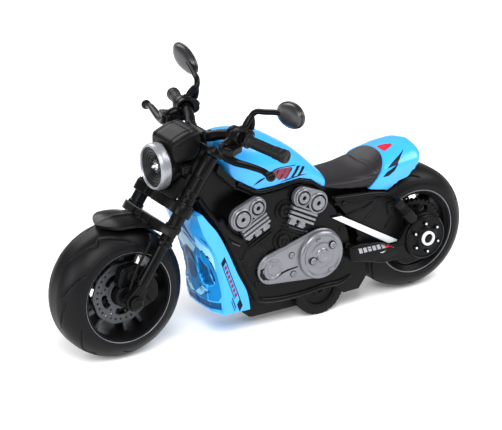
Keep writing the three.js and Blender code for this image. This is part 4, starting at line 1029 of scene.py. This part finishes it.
def grooved_side(x, y, z):
    """The seat's side crease, and the fold where the pillion step begins."""
    crease = 0.35 * math.exp(-((z - 53.0 - 0.02 * (x + 30)) / 0.4) ** 2)
    tuck = 0.5 * max(0.0, (52.6 - z) / 4)
    y -= math.copysign(min(crease + tuck, abs(y)), y)
    fold = 0.4 * math.exp(-((x + 44.5 + 0.12 * abs(y)) / 0.8) ** 2)
    return y, z - (fold if z > 53 else 0)


def seat():
    body = loft("seat_detail", SADDLE, 2.5, SEAT, SADDLE_FLOOR, rows=150, sides=120, ends=1.0, shape=grooved_side)
    behind = SEAT_JOINT + [(-80, 40), (-80, 70)]
    piece(carve(body, room(SADDLE_NOSE), room(behind)), "chassis", "dark_satin", "seat")


def facet_tail(x, y, z):
    """The lower edge of the cowl turns in below a crease."""
    crease = line_at([(-48, 46.4), (-50.1, 47.8), (-57.1, 53.2), (-60.4, 54.4), (-69, 56.4)], x)
    if z < crease:
        y -= math.copysign(min(0.22 * (crease - z), 0.7), y)
    if z > 55:
        z += (0.9 - 0.14 * abs(y)) * min((z - 55) / 3, 1)
    return y, z


def cowl():
    body = loft("tail_cowl_detail", COWL, 2.8, BLUE, rows=120, sides=132, ends=1.6, shape=facet_tail)
    ahead = [(x - 0.3, z) for x, z in SEAT_JOINT] + [(-20, 40), (-20, 70)]
    under = COWL_UNDER + [(-74, 20), (-36, 20)]
    well = wheel_lathe("room", post(27, -12, 12), REAR, BLACK, segments=160, soft=0)
    body = carve(body, room(ahead), room(under), well)
    surface = surface_of(body)
    piece(body, "chassis", "blue_plastic", "tail_cowl")
    flash = [(-52.7, 0.5), (-54.7, 0.7), (-58.3, 2.3), (-58, 3.7), (-55.8, 4.6), (-53.5, 5.2), (-52.8, 3)]
    feathers = [[(-47.7, 39.1), (-49.6, 40.9), (-51.5, 41.6), (-55.4, 43.8), (-53, 40.6), (-50.4, 39.1)],
                [(-50.0, 42.4), (-51.8, 44.2), (-54, 45.1), (-57.8, 49), (-60.6, 51.6), (-57, 46.6),
                 (-54.6, 43.2), (-52.6, 42.8)]]
    for word, side in SIDES:
        laid = []
        if side > 0:
            laid.append(laid_on(flash, surface, (0, 0, -1), lambda a, b: (a, b, 70), RED))
        for outline in feathers:
            laid.append(laid_on(outline, surface, (0, -side, -1), lambda a, b: (a, side * 20, 20 + b), INK))
        piece(merged(f"tail_marks_{word}", laid), "chassis", "blue_plastic")


# z, rear x, front x at the sides, and how far the nose stands ahead of that
FAIRING_LEVELS = np.array([
    (10.5, 13.1, 24.8, 2.4), (16.8, 14.2, 24.6, 4.6), (27.3, 19.1, 25.6, 5), (36.1, 22.9, 28.4, 4.2),
    (45.6, 27.9, 33.6, 2.2), (50.6, 31.8, 35.4, 0.8), (53.6, 34, 36.4, 0.2)])
FAIRING_HALF = 13.8
SCOOP = [(4.6, 34.4), (7.6, 33.2), (9.6, 29.8), (9.8, 26.6), (10.9, 22.7), (8.6, 21.6), (5.6, 22.4), (3.9, 26.4)]
CHIN_FACET = [(0, 16.0), (3.4, 15.4), (6.1, 15.9), (9.8, 15.4), (12.8, 16.0), (13.0, 12.2), (7, 11.6), (0, 11.6)]


def sunk(y, z, outline, depth, edge):
    """How far a recess with sloping walls takes a surface in, at arrays of points."""
    inside = np.zeros(np.shape(y), bool)
    nearest = np.full(np.shape(y), 1e9)
    for (y0, z0), (y1, z1) in zip(outline, outline[1:] + outline[:1]):
        crosses = (z0 > z) != (z1 > z)
        with np.errstate(divide="ignore", invalid="ignore"):
            at = y0 + (z - z0) * (y1 - y0) / (z1 - z0 if z1 != z0 else 1e-9)
        inside ^= crosses & (y < at)
        dy, dz = y1 - y0, z1 - z0
        t = np.clip(((y - y0) * dy + (z - z0) * dz) / (dy * dy + dz * dz), 0, 1)
        nearest = np.minimum(nearest, np.hypot(y - y0 - t * dy, z - z0 - t * dz))
    return np.where(inside, depth * np.clip(nearest / edge, 0, 1), 0)


# Painted shade: a half-shade blue sheet over the fairing's front face, which lies in shade while its sides catch
# the light
FRONT_SHADE_SHEET = [(0, 42.6), (4, 40), (8.6, 38), (11.4, 33), (12.2, 26.8), (12.9, 18.4), (11, 14.6), (6.1, 15.6),
              (0, 15)]
# Painted light and shade on the fairing's front face: the pale patches are painted highlights; the dark blue
# sheets over the scoop, the chin facet and the creases, and the near-black streaks, are painted shade
FRONT_LIGHT_AND_SHADE = [
    (HIGHLIGHT_BLUE, [(0.3, 17.0), (5.3, 21.2), (8.4, 20.0), (3.6, 16.5)]),
    (DARK_SHADE_BLUE, [(5, 33.8), (7.4, 32.6), (9.2, 29.8), (9.4, 26.8), (10.4, 23), (8.4, 22.2), (6, 22.9), (4.4, 26.4)]),
    (DARK_SHADE_BLUE, [(0, 15.6), (3.4, 15), (6.1, 15.5), (9.8, 15), (12.4, 15.6), (12.6, 12.6), (7, 12), (0, 12)]),
    (HIGHLIGHT_BLUE, [(0, 42.4), (2.5, 41.8), (4.1, 39.7), (6.4, 38.4), (3.7, 35.1), (0, 37.2)]),
    (HIGHLIGHT_BLUE, [(8.8, 44), (10.4, 41), (12.4, 38.8), (12.6, 34.8), (11.8, 28.6), (11.2, 32.5), (9.7, 35.9),
            (7.6, 38.6)]),
    (INK, [(5.9, 39.4), (9.6, 37.4), (11.2, 34.6), (11.9, 29.1), (11.3, 29.2), (10.6, 33.4), (8.8, 36.9)]),
    (INK, [(0, 36.4), (2.7, 34.6), (3.9, 30.3), (2.7, 31.2), (0, 34.4)]),
    (DARK_SHADE_BLUE, [(0, 31), (2.4, 30.2), (3.4, 25.6), (1.6, 23), (0, 22.6)]),
    (DARK_SHADE_BLUE, [(0.6, 46), (3.4, 44.6), (6.2, 41.2), (8.2, 40.6), (5.4, 44.8), (3.2, 47.4)]),
    (DARK_SHADE_BLUE, [(11.0, 44.4), (12.9, 42.2), (13.2, 38.0), (12.9, 40.0)]),
    (DARK_SHADE_BLUE, [(3.6, 21.6), (6.6, 19.6), (9.6, 19.8), (7.2, 18.2), (3.4, 18.6)]),
    (INK, [(1.4, 43.8), (4.0, 42.4), (5.6, 40.4), (3.6, 41.6), (1.6, 43.0)]),
    (INK, [(9.9, 31.6), (10.6, 28.6), (11.4, 24.4), (10.9, 24.2), (10.2, 27.8)])]


def fairing():
    low, high = FAIRING_LEVELS[0, 0], FAIRING_LEVELS[-1, 0]
    heights = np.linspace(low, high, 150)
    across = np.linspace(FAIRING_HALF, -FAIRING_HALF, 121)
    lean = np.interp(np.abs(across), [0, 2, 8, FAIRING_HALF], [1, 1, 0.85, 0])
    points = []
    for z in heights:
        rear, front, nose = (float(smooth_table(FAIRING_LEVELS[:, 0], FAIRING_LEVELS[:, k],
                                                [z])[0]) for k in (1, 2, 3))
        edge = 0.35 * max(0.0, 1 - min(z - low, high - z) / 0.5)
        level = np.full(across.shape, z)
        sag = sunk(np.abs(across), level, SCOOP, 1.0, 0.9) + sunk(np.abs(across), level, CHIN_FACET, 0.5, 0.8)
        front_xs = front + nose * lean - sag - edge
        side_xs = np.linspace(rear, float(front_xs[0]), 16)[:-1]
        half = FAIRING_HALF - edge
        points += [(x, half, z) for x in side_xs]
        points += [(x, y * half / FAIRING_HALF, z) for x, y in zip(front_xs, across)]
        points += [(x, -half, z) for x in side_xs[::-1]]
    faces = skinned(len(heights), len(points) // len(heights))
    body = made("chin_fairing_detail", points, faces, BLUE, 22)
    surface = surface_of(body)
    piece(body, "chassis", "blue_plastic", "chin_fairing")
    laid = []
    # The painted shade and painted highlights of the front face, laid on both halves
    for _, side in SIDES:
        for mark_colour, outline, lift in ((HALF_SHADE_BLUE, FRONT_SHADE_SHEET, 0.03), *((*mark, 0.06) for mark in FRONT_LIGHT_AND_SHADE)):
            laid.append(laid_on(outline, surface, (-1, 0, 0), lambda a, b: (45, side * a, b), mark_colour, lift))
    piece(merged("fairing_front_marks", laid), "chassis", "blue_plastic")
    for word, side in SIDES:
        piece(merged(f"fairing_bar_{word}", side_bar(side, surface)), "chassis", "blue_plastic")
        piece(fairing_lip(word, side), "chassis", "black_plastic")


BAR_TOP = np.array((25.5, 34.4))
BAR_END = np.array((17.6, 12.8))


def side_bar(side, surface):
    """A slanting bar: black edges with a row of plain magenta blocks between."""
    along = (BAR_END - BAR_TOP) / np.linalg.norm(BAR_END - BAR_TOP)
    across = np.array((along[1], -along[0])) * -1
    length = float(np.linalg.norm(BAR_END - BAR_TOP))

    def strip(start, end, near, far, mark_colour, slant=0.5):
        corners = [(start, near), (start + slant, far), (end + slant, far), (end, near)]
        return on_side([tuple(BAR_TOP + along * a + across * b) for a, b in corners], side, surface, mark_colour)
    laid = [strip(0, length, -1.1, -0.75, INK), strip(1.6, length - 4.6, 0.9, 1.2, INK),
            strip(0, 2.2, -0.9, 1.2, INK, 1.6), strip(length - 3.4, length, -1.1, 1.0, INK, 1.8),
            strip(length - 5.6, length - 0.6, 1.7, 2.1, INK), strip(length - 4.4, length + 0.2, 2.5, 2.8, INK)]
    for i in range(7):
        laid.append(strip(3.4 + 2.15 * i, 4.95 + 2.15 * i, -0.5, 0.65, PINK))
    return laid


def fairing_lip(word, side):
    """Dark inner edge of the belly shell, standing just proud of its rear face."""
    heights = [11.4, *FAIRING_LEVELS[1:-1, 0], 53]
    line = [(rear - 0.1, side * 12.9, z) for rear, z in zip(FAIRING_LEVELS[:, 1], heights)]
    return tube(f"fairing_lip_{word}", line, BLACK, 0.5, 10, 8)


# ---------------------------------------------------------------- engine and frame
FRONT_HEAD = ((17.8, 49.2, 4.8), (11.2, 52.5, 4.1))
REAR_HEAD = ((-9.3, 52.3, 4.1), (-15.8, 48.9, 4.7))
BLOCK_FACE = 13


def head_frame(first, second):
    """A function from (along, down) to x and z, measured from the middle of a rocker cover."""
    delta = np.array(second[:2]) - np.array(first[:2])
    along = delta / np.linalg.norm(delta)
    down = np.array((along[1] * math.copysign(1, along[0]), -abs(along[0])))
    middle = (np.array(first[:2]) + np.array(second[:2])) / 2
    return lambda a, d: tuple(middle + a * along + d * down)


def head_strip(at, a0, a1, d0, d1):
    """A rectangle in a head's own (along, down) frame."""
    return [at(a0, d0), at(a1, d0), at(a1, d1), at(a0, d1)]


def head_cover(node, side, first, second, stubs):
    at = head_frame(first, second)
    near = BLOCK_FACE + 0.3
    parts = Parts(side)
    parts.flat(teardrop(first, second, 28), near, 15.7, ENGINE, 0.45)
    for x, z, r in (first, second):
        parts.round([(r - 1.3, 15.4), (r - 0.5, 15.4), (r - 0.55, 16.2), (r - 0.85, 16.45), (r - 1.2, 16.4),
                     (r - 1.3, 16)],
                    (x, z), ENGINE, 56, 0.08, True)
        parts.round(post(r - 1.25, 15.5, 15.85), (x, z), BLACK, 48)
        parts.round([(0.85, 15.6), (r - 1.85, 15.6), (r - 1.9, 16.6), (r - 2.15, 16.8), (1.1, 16.8),
                     (0.85, 16.5)],
                    (x, z), ENGINE, 48, 0.08, True)
    parts.flat(head_strip(at, -5.7, 5.7, 0, 8.6), near, 14.9, SATIN, 0.3)
    for d in (4.3, 6.1, 7.8):
        parts.flat(head_strip(at, -6.1, 6.1, d, d + 0.95), near, 15.8, ENGINE, 0.22)
    parts.flat([at(-1.0, 3.2), at(1.0, 3.2), at(0, 1.7)], 15.4, 15.85, BLACK, 0.1)
    parts.flat(head_strip(at, -4.4, 4.4, 3.75, 4.15), 15.4, 15.8, BLACK, 0.1)
    for a, width, reach in stubs:
        half = width / 2
        parts.flat(head_strip(at, a - half, a + half, 8.2, reach), near, 15.0, ENGINE, 0.5)
        parts.flat(head_strip(at, a - half - 0.2, a + half + 0.2, reach - 1.5, reach - 0.9), near, 15.2, ENGINE,
                   0.2)
    built(node, "chassis", "engine_grey", parts)


def primary_cover(node, side):
    large, small = (-17.6, 27.2), (3.8, 25.4)
    parts = Parts(side)
    parts.flat(teardrop((*large, 10.2), (*small, 6.3), 40), BLOCK_FACE + 0.3, 14.7, ENGINE, 0.6)
    parts.flat(teardrop((*large, 9.4), (*small, 5.5), 40), 14.4, 15.0, ENGINE, 0.25)
    parts.round([(0, 14.2), (9.8, 14.2), (9.8, 15.9), (9.5, 16.5), (8.9, 17.0), (8.4, 17.0), (7.7, 16.5),
                 (5.4, 16.35), (4.8, 16.65), (3.0, 16.6), (2.6, 17.0), (2.4, 17.6), (1.7, 17.6), (1.5, 17.3),
                 (0, 17.3)],
                large, ENGINE, 112, 0.12)
    parts.round([(0, 14.8), (4.1, 14.8), (4.0, 15.35), (3.7, 15.5), (3.3, 15.5), (3.1, 15.2), (2.2, 15.2),
                 (2.0, 15.6), (1.4, 15.7), (0, 15.65)], small, ENGINE, 64, 0.1)
    parts.flat([(5.2, 27.6), (9.3, 26.4), (9.2, 23.6), (6.2, 21.4), (2.2, 21.2), (-0.6, 22.8), (-3.4, 23.4),
                (-7.4, 23.9), (-7.4, 24.4), (-3, 24.1), (0, 23.4), (2.4, 22), (6, 22.1), (8.2, 24), (8.3, 26),
                (5.2, 26.9)],
               14.8, 15.12, SATIN, 0.08)
    parts.flat([(9.2, 25.6), (9.5, 23.8), (8, 21.8), (6.2, 21.8), (5.8, 23), (7.6, 24.2)], 14.8, 15.15, SATIN,
               0.1, 0.4)
    for centre in ((-4.6, 29.4), (-5.4, 21.6)):
        parts.round(post(1.35, 14.9, 15.12), centre, SATIN, 28, 0)
        parts.round([(0, 14.8), (1.1, 14.8), (1.1, 15.4), (0.85, 15.6), (0.6, 15.6), (0.5, 15.3), (0, 15.3)],
                    centre, ENGINE, 28, 0.06)
    for centre in ((-13.3, 25.7), (-22.1, 30.6)):
        parts.round(post(1.6, 16.5, 17.0), centre, SATIN, 28, 0)
        parts.round([(0, 16.4), (1.3, 16.4), (1.3, 17.25), (1.0, 17.5), (0.65, 17.5), (0.5, 17.1), (0, 17.1)],
                    centre, ENGINE, 28, 0.08)
    for x, z in ((-21.8, 20.6), (-16.2, 33.6)):
        parts.flat([(x - 1.2, z - 0.4), (x + 1.2, z - 0.4), (x + 0.9, z + 0.5), (x - 0.9, z + 0.5)], 16.4, 17.0,
                   ENGINE, 0.2)
    built(node, "chassis", "engine_grey", parts)


def engine_side(word, side):
    """Black parts moulded on the block: cylinder fins, bosses, tubes and rails."""
    face = BLOCK_FACE - 0.3
    parts = Parts(side)
    for first, second in (FRONT_HEAD, REAR_HEAD):
        at = head_frame(first, second)
        for i in range(4):
            d = 10.4 + 1.35 * i
            parts.flat(head_strip(at, -5.4, 5.4, d, d + 0.6), face, 13.75, SATIN, 0.15)
    boss = [(0, face), (4.4, face), (4.2, 13.5), (3.7, 13.7), (3.4, 13.7), (3.2, 13.3), (2.7, 13.3), (2.5, 14.2),
            (2.1, 14.5), (1.6, 14.5), (1.4, 14.0), (0.9, 14.0), (0.7, 14.5), (0, 14.6)]
    for centre in ((-2.4, 47.8), (-1.6, 35.6)):
        parts.round(boss, centre, SATIN, 56, 0.1)
    parts.bar([(25.4, 11.6, 49.2), (24.2, 12.1, 46.4), (20.9, 12.4, 42.4), (16, 12.5, 39)], SATIN, 1.7, 20, 7)
    parts.bar([(33.2, 9.2, 59), (30.2, 10.6, 53.6), (25, 12.2, 45.4), (20.3, 12.8, 36), (16.3, 12.8, 27),
               (11.6, 12.9, 17.4), (9.6, 13, 13.9), (4, 13, 12.2), (-8, 13, 11.5), (-20, 13, 12.4),
               (-29, 13, 12.6), (-33.4, 12.2, 14.4)],
              BLACK, 1.15, 18, 7)
    for drop, radius, y in ((1.25, 0.85, 13.2), (3.2, 0.6, 12.5)):
        rail = (18.4, 14, 10.4, 6, 2, -3, -8.4, -11.5, -14.6, -17.6, -20)
        parts.bar([(x, y, line_at(TANK_FLOOR, x) - drop) for x in rail], BLACK, radius, 14, 6)
    ledge = (19.2, 9.9, 2.4, -8.8, -14.2, -20.2)
    top = [(x, line_at(TANK_FLOOR, x) - 0.5) for x in ledge]
    base = [(x, line_at(TANK_FLOOR, x) - 3.6) for x in ledge[::-1]]
    parts.flat(top + base, 7.6, 12.6, SATIN, 0.3)
    parts.bar([(-4.4, 13.1, 40.6), (-8, 13.4, 38.9), (-12.8, 13.2, 36.7)], STEEL, 0.32, 10, 4)
    parts.bar([(21.6, 13.0, 39.9), (19.4, 13.2, 38.6), (17.2, 13.0, 37.4)], STEEL, 0.3, 10, 4)
    parts.round([(0, face), (5.6, face), (5.4, 13.3), (4.6, 13.5), (4.2, 13.2), (0, 13.2)], (10.8, 31.6), SATIN,
                56, 0.1)
    bolt = [(0, face), (1.2, face), (1.2, 13.3), (0.9, 13.6), (0.5, 13.6), (0.4, 13.3), (0, 13.3)]
    for centre in ((16.4, 30.4), (9.6, 20), (-28.6, 34.6), (-31.6, 26.8), (-27.4, 40)):
        parts.round(bolt, centre, SATIN, 24, 0.08)
    piece(merged(f"engine_side_{word}", parts), "chassis", "black_plastic")


def rear_frame(word, side):
    parts = Parts(side)
    parts.flat([(-24, 48.6), (-41.8, 47.1), (-48.4, 45.8), (-54, 43.2), (-57.2, 39), (-57.8, 24.2), (-50, 22.6),
                (-38, 26.2), (-33.8, 36), (-26.6, 45)], 12.2, 12.9, SATIN, 0.25, 0.8)
    rail = [(-24.8, 47.6), (-33, 46.8), (-41.6, 46.2), (-48, 44.9), (-53, 42.5), (-56.2, 39)]
    parts.bar([(x, 13.05, z) for x, z in rail], BLACK, 0.92, 16, 8, up=(0, side, 0))
    for line in ([(-25, 45.4), (-34.4, 43.8), (-41.9, 43.5), (-46.6, 44)],
                 [(-30.2, 39.4), (-34.9, 40.5), (-38.6, 41), (-43.3, 42.6)],
                 [(-47.6, 43.6), (-44, 40), (-40.4, 36.6), (-37, 34.2)],
                 [(-49, 30.4), (-52.6, 35), (-55.4, 38.4)]):
        parts.bar([(x, 12.9, z) for x, z in line], BLACK, 0.5, 12, 5)
    parts.flat([(-23.1, 40.7), (-28, 40.6), (-55.9, 23.9), (-49.3, 23.9)], 13.2, 13.95)
    parts.flat([(-49.6, 40.4), (-52.6, 40.8), (-54.4, 38.8), (-53, 34.4), (-50.2, 36)], 12.6, 13.5, SATIN, 0.35,
               0.8)
    bolt = [(0, 12.6), (1.1, 12.6), (1.1, 13.5), (0.8, 13.8), (0.4, 13.8), (0.3, 13.5), (0, 13.5)]
    for centre in ((-51.6, 38.6), (-36.6, 28.6), (-29.6, 44.6)):
        parts.round(bolt, centre, SATIN, 24, 0.08)
    built(f"rear_frame_{word}", "chassis", "black_plastic", parts)
    stripe = [(-23.6, 40.4), (-27.8, 40.3), (-55.2, 24.2), (-50, 24.2)]
    piece(plate(f"white_bar_{word}", stripe, side, 13.85, 14.15, WHITE, 0.1), "chassis", "bright_trim")


def swingarm(word, side):
    parts = Parts(side)
    parts.flat([(-30, 27.4), (-36, 27.8), (-44, 26.6), (-51, 23.6), (-57, 24.6), (-60, 17), (-56, 17.6),
                (-46, 17.6), (-36, 20.4), (-31, 21)], 14.3, 16.9, BLACK, 0.7, 1.6)
    parts.flat(teardrop((*REAR, 9.6), (-58, 20.6, 6), 36), 14.35, 16.82, BLACK, 0.6)
    parts.flat([(-32, 26), (-44, 25.2), (-50.4, 22.6), (-54, 21.6), (-50, 19.2), (-40, 19.8), (-33, 22)], 16.7,
               17.0, SATIN, 0.12, 1.2)
    parts.round([(1.85, 16.4), (9, 16.4), (9, 17.6), (8.7, 18.1), (8.2, 18.3), (7.8, 18.0), (4.9, 18.1),
                 (4.6, 18.9), (4.0, 19.3), (3.2, 19.3), (1.85, 19.3)], REAR, BLACK, 80, 0.12, True)
    parts.round([(1.95, 19.0), (2.9, 19.0), (2.9, 20.1), (2.7, 20.35), (2.1, 20.35), (1.95, 20.1)], REAR, WHITE,
                56, 0.06, True)
    for i in range(6):
        where = around(REAR, 5.9, i * 60 + 25)
        parts.round(post(0.85, 17.8, 18.9), where, BLACK, 20)
        parts.round([(0, 18.7), (0.48, 18.7), (0.42, 19.15), (0, 19.3)], where, WHITE, 20, 0.08)
    body = built(f"swingarm_{word}", "chassis", "black_plastic", parts)
    surface = surface_of(body)
    laid = []
    for i in range(6):
        x, top, base = -34.6 - 2.1 * i, 26.3 - 0.06 * i, 24.2 - 0.03 * i
        laid.append(on_side([(x, base), (x + 0.7, top), (x - 0.8, top), (x - 1.5, base)], side, surface, SILVER))
    laid.append(on_side([(-46.6, 24.0), (-46.4, 26.0), (-49.6, 25.2), (-51, 24.0)], side, surface, RED))
    laid.append(on_side([(-43.9, 22.6), (-45.4, 22.2), (-46.9, 22.9), (-45.4, 22.6)], side, surface, WHITE))
    piece(merged(f"swingarm_marks_{word}", laid), "chassis", "black_plastic")


def shock(word, side):
    start, end = Vector((-51.4, side * 16.8, 42.4)), Vector((-59.8, side * 16.8, 32.6))
    axis = (end - start).normalized()
    damper = lathe("damper", [(0, 0), (1.6, 0), (1.9, 0.3), (1.9, 3.4), (1.4, 3.7), (1.4, 6.4), (2.35, 6.8),
                              (2.4, 7.1), (2.4, 11.6), (2.1, 12.2), (1.6, 12.4), (0, 12.4)], start, axis, SATIN,
                   36)
    across = axis.orthogonal().normalized()
    third = axis.cross(across)
    coil = []
    turns, steps = 3.2, 44
    for i in range(steps + 1):
        angle = 2 * math.pi * turns * i / steps
        out = across * math.cos(angle) + third * math.sin(angle)
        coil.append(start + axis * (3.5 + 3.3 * i / steps) + out * 1.8)
    spring = tube("spring", coil, BLACK, 0.36, 8, 1, up=axis)
    built(f"shock_{word}", "chassis", "black_plastic", damper, spring)


def rear_axle():
    pin = [(0, 0), (1.5, 0), (1.5, 18.8), (1.8, 19.0), (1.8, 19.7), (1.5, 20.0), (0, 20.0)]
    ends = [wheel_lathe("pin", pin, REAR, BLACK, side, segments=40, soft=0.08) for _, side in SIDES]
    built("rear_axle", "chassis", "black_plastic", ends)


def screw(node, x, z):
    """Cross-head screw driven in from the right."""
    body = wheel_lathe(f"{node}_detail",
                       [(0, -5.5), (0.9, -5.5), (0.9, 10.6), (1.5, 10.7), (1.5, 12.0), (1.2, 12.5), (0, 12.6)],
                       (x, z), SCREW, -1, segments=36, soft=0.1)
    cross = [plate("room", [(x - a, z - b), (x + a, z - b), (x + a, z + b), (x - a, z + b)], -1, 11.9, 13, SCREW,
                   0)
             for a, b in ((0.85, 0.18), (0.18, 0.85))]
    piece(carve(body, *cross), "chassis", "steel", node)


def drive_wheel(word, side):
    axle = axle_of("drive_spin")
    parts = Parts(side)
    parts.flat(toothed(axle, 30, ((-0.4, 10.75), (-0.3, 10.95), (0.3, 10.95), (0.4, 10.75))), 7.85, 11.55, RUBBER,
               0.3, holes=[circle(axle, 7.6, 48)])
    parts.round([(1.62, 8.0), (7.8, 8.0), (7.8, 11.3), (6.9, 11.3), (6.6, 10.2), (3.1, 10.2), (2.9, 11.4),
                 (1.62, 11.4)],
                axle, SATIN, 56, closed=True)
    built(f"drive_wheel_{word}", "drive", "tyre_rubber", parts)


def chassis():
    tank()
    seat()
    cowl()
    fairing()
    for word, side in SIDES:
        head_cover(f"head_cover_front_{word}", side, *FRONT_HEAD,
                   [(3.6, 3.0, 11.4), (-0.2, 2.8, 11.2), (-3.9, 2.2, 10.4)])
        head_cover(f"head_cover_rear_{word}", side, *REAR_HEAD, [(-2.9, 2.9, 11.4), (1.6, 2.9, 11.4)])
        primary_cover(f"primary_cover_{word}", side)
        engine_side(word, side)
        rear_frame(word, side)
        swingarm(word, side)
        shock(word, side)
        drive_wheel(word, side)
    rear_axle()
    screw("frame_screw_rear", -30, 26.5)
    screw("frame_screw_front", 13.5, 32)


def carried_over():
    """Materials and softened edges for the CAD nodes that stay."""
    for names, material, edge in (
            (("body_shell_left", "body_shell_right"), BLACK, 0.35),
            (("steering_stem", "drive_axle", "mainspring"), STEEL, 0.1),
            (("motor_housing_left", "motor_housing_right"), MOTOR, 0.3),
            (("drive_gear", "idler_gear", "spring_barrel"), NYLON, 0.12)):
        for name in names:
            thing = bpy.data.objects[name]
            for slot in thing.material_slots:
                slot.material = material
            bevel = thing.modifiers.new("edges", "BEVEL")
            bevel.width = edge * MM
            bevel.segments = 2
            bevel.limit_method = "ANGLE"
            bevel.angle_limit = math.radians(35)


# ---------------------------------------------------------------- stage
# Each light's place and size in metres, and its power in watts
LIGHTS = {"key": ((0.35, 0.55, 0.75), 0.5, 9.0), "front": ((0.9, 0.1, 0.35), 0.5, 5.0),
          "back": ((-0.6, 0.3, 0.7), 0.6, 7.0), "far": ((0.0, -0.8, 0.6), 0.6, 4.0)}
LIT_POINT = (0, 0, 0.04)
FLOOR_REACH = 4000


def aimed(thing, place, target):
    """A light or camera put at a place and pointed at a target."""
    thing.location = place
    thing.rotation_euler = (Vector(target) - Vector(place)).to_track_quat("-Z", "Y").to_euler()
    return thing


def stage():
    """A plain pale floor, an even white sky and four soft lights."""
    paper = bpy.data.materials.new("paper")
    paper.use_nodes = True
    shader = paper.node_tree.nodes["Principled BSDF"]
    shader.inputs["Base Color"].default_value = (0.93, 0.93, 0.93, 1)
    shader.inputs["Roughness"].default_value = 0.9
    shader.inputs["Specular IOR Level"].default_value = 0.1
    shader.inputs["Emission Color"].default_value = (1, 1, 1, 1)
    shader.inputs["Emission Strength"].default_value = 0.12
    corners = [(x * FLOOR_REACH, y * FLOOR_REACH, 0) for x, y in ((-1, -1), (1, -1), (1, 1), (-1, 1))]
    made("floor", corners, [(0, 1, 2, 3)], paper)
    world = bpy.data.worlds.new("studio")
    world.use_nodes = True
    world.node_tree.nodes["Background"].inputs["Color"].default_value = (1, 1, 1, 1)
    world.node_tree.nodes["Background"].inputs["Strength"].default_value = 0.32
    bpy.context.scene.world = world
    for name, (place, size, power) in LIGHTS.items():
        light = bpy.data.lights.new(name, "AREA")
        light.shape = "SQUARE"
        light.size = size
        light.energy = power
        aimed(placed(name, light), place, LIT_POINT)


# The photo's viewpoint, fitted to its wheels; in metres
CAMERA_PLACE = (0.49115, 0.78910, 0.41736)
CAMERA_TARGET = (0.00433, 0, 0.04275)


def camera():
    lens = bpy.data.cameras.new("camera")
    lens.lens = 187.82
    lens.sensor_width = 36
    lens.clip_end = 50
    bpy.context.scene.camera = aimed(placed("camera", lens), CAMERA_PLACE, CAMERA_TARGET)


camera()
front_wheel()
rear_wheel()
fork()
lamp()
handlebar()
chassis()
carried_over()
stage()
bpy.context.scene.view_settings.view_transform = "Standard"
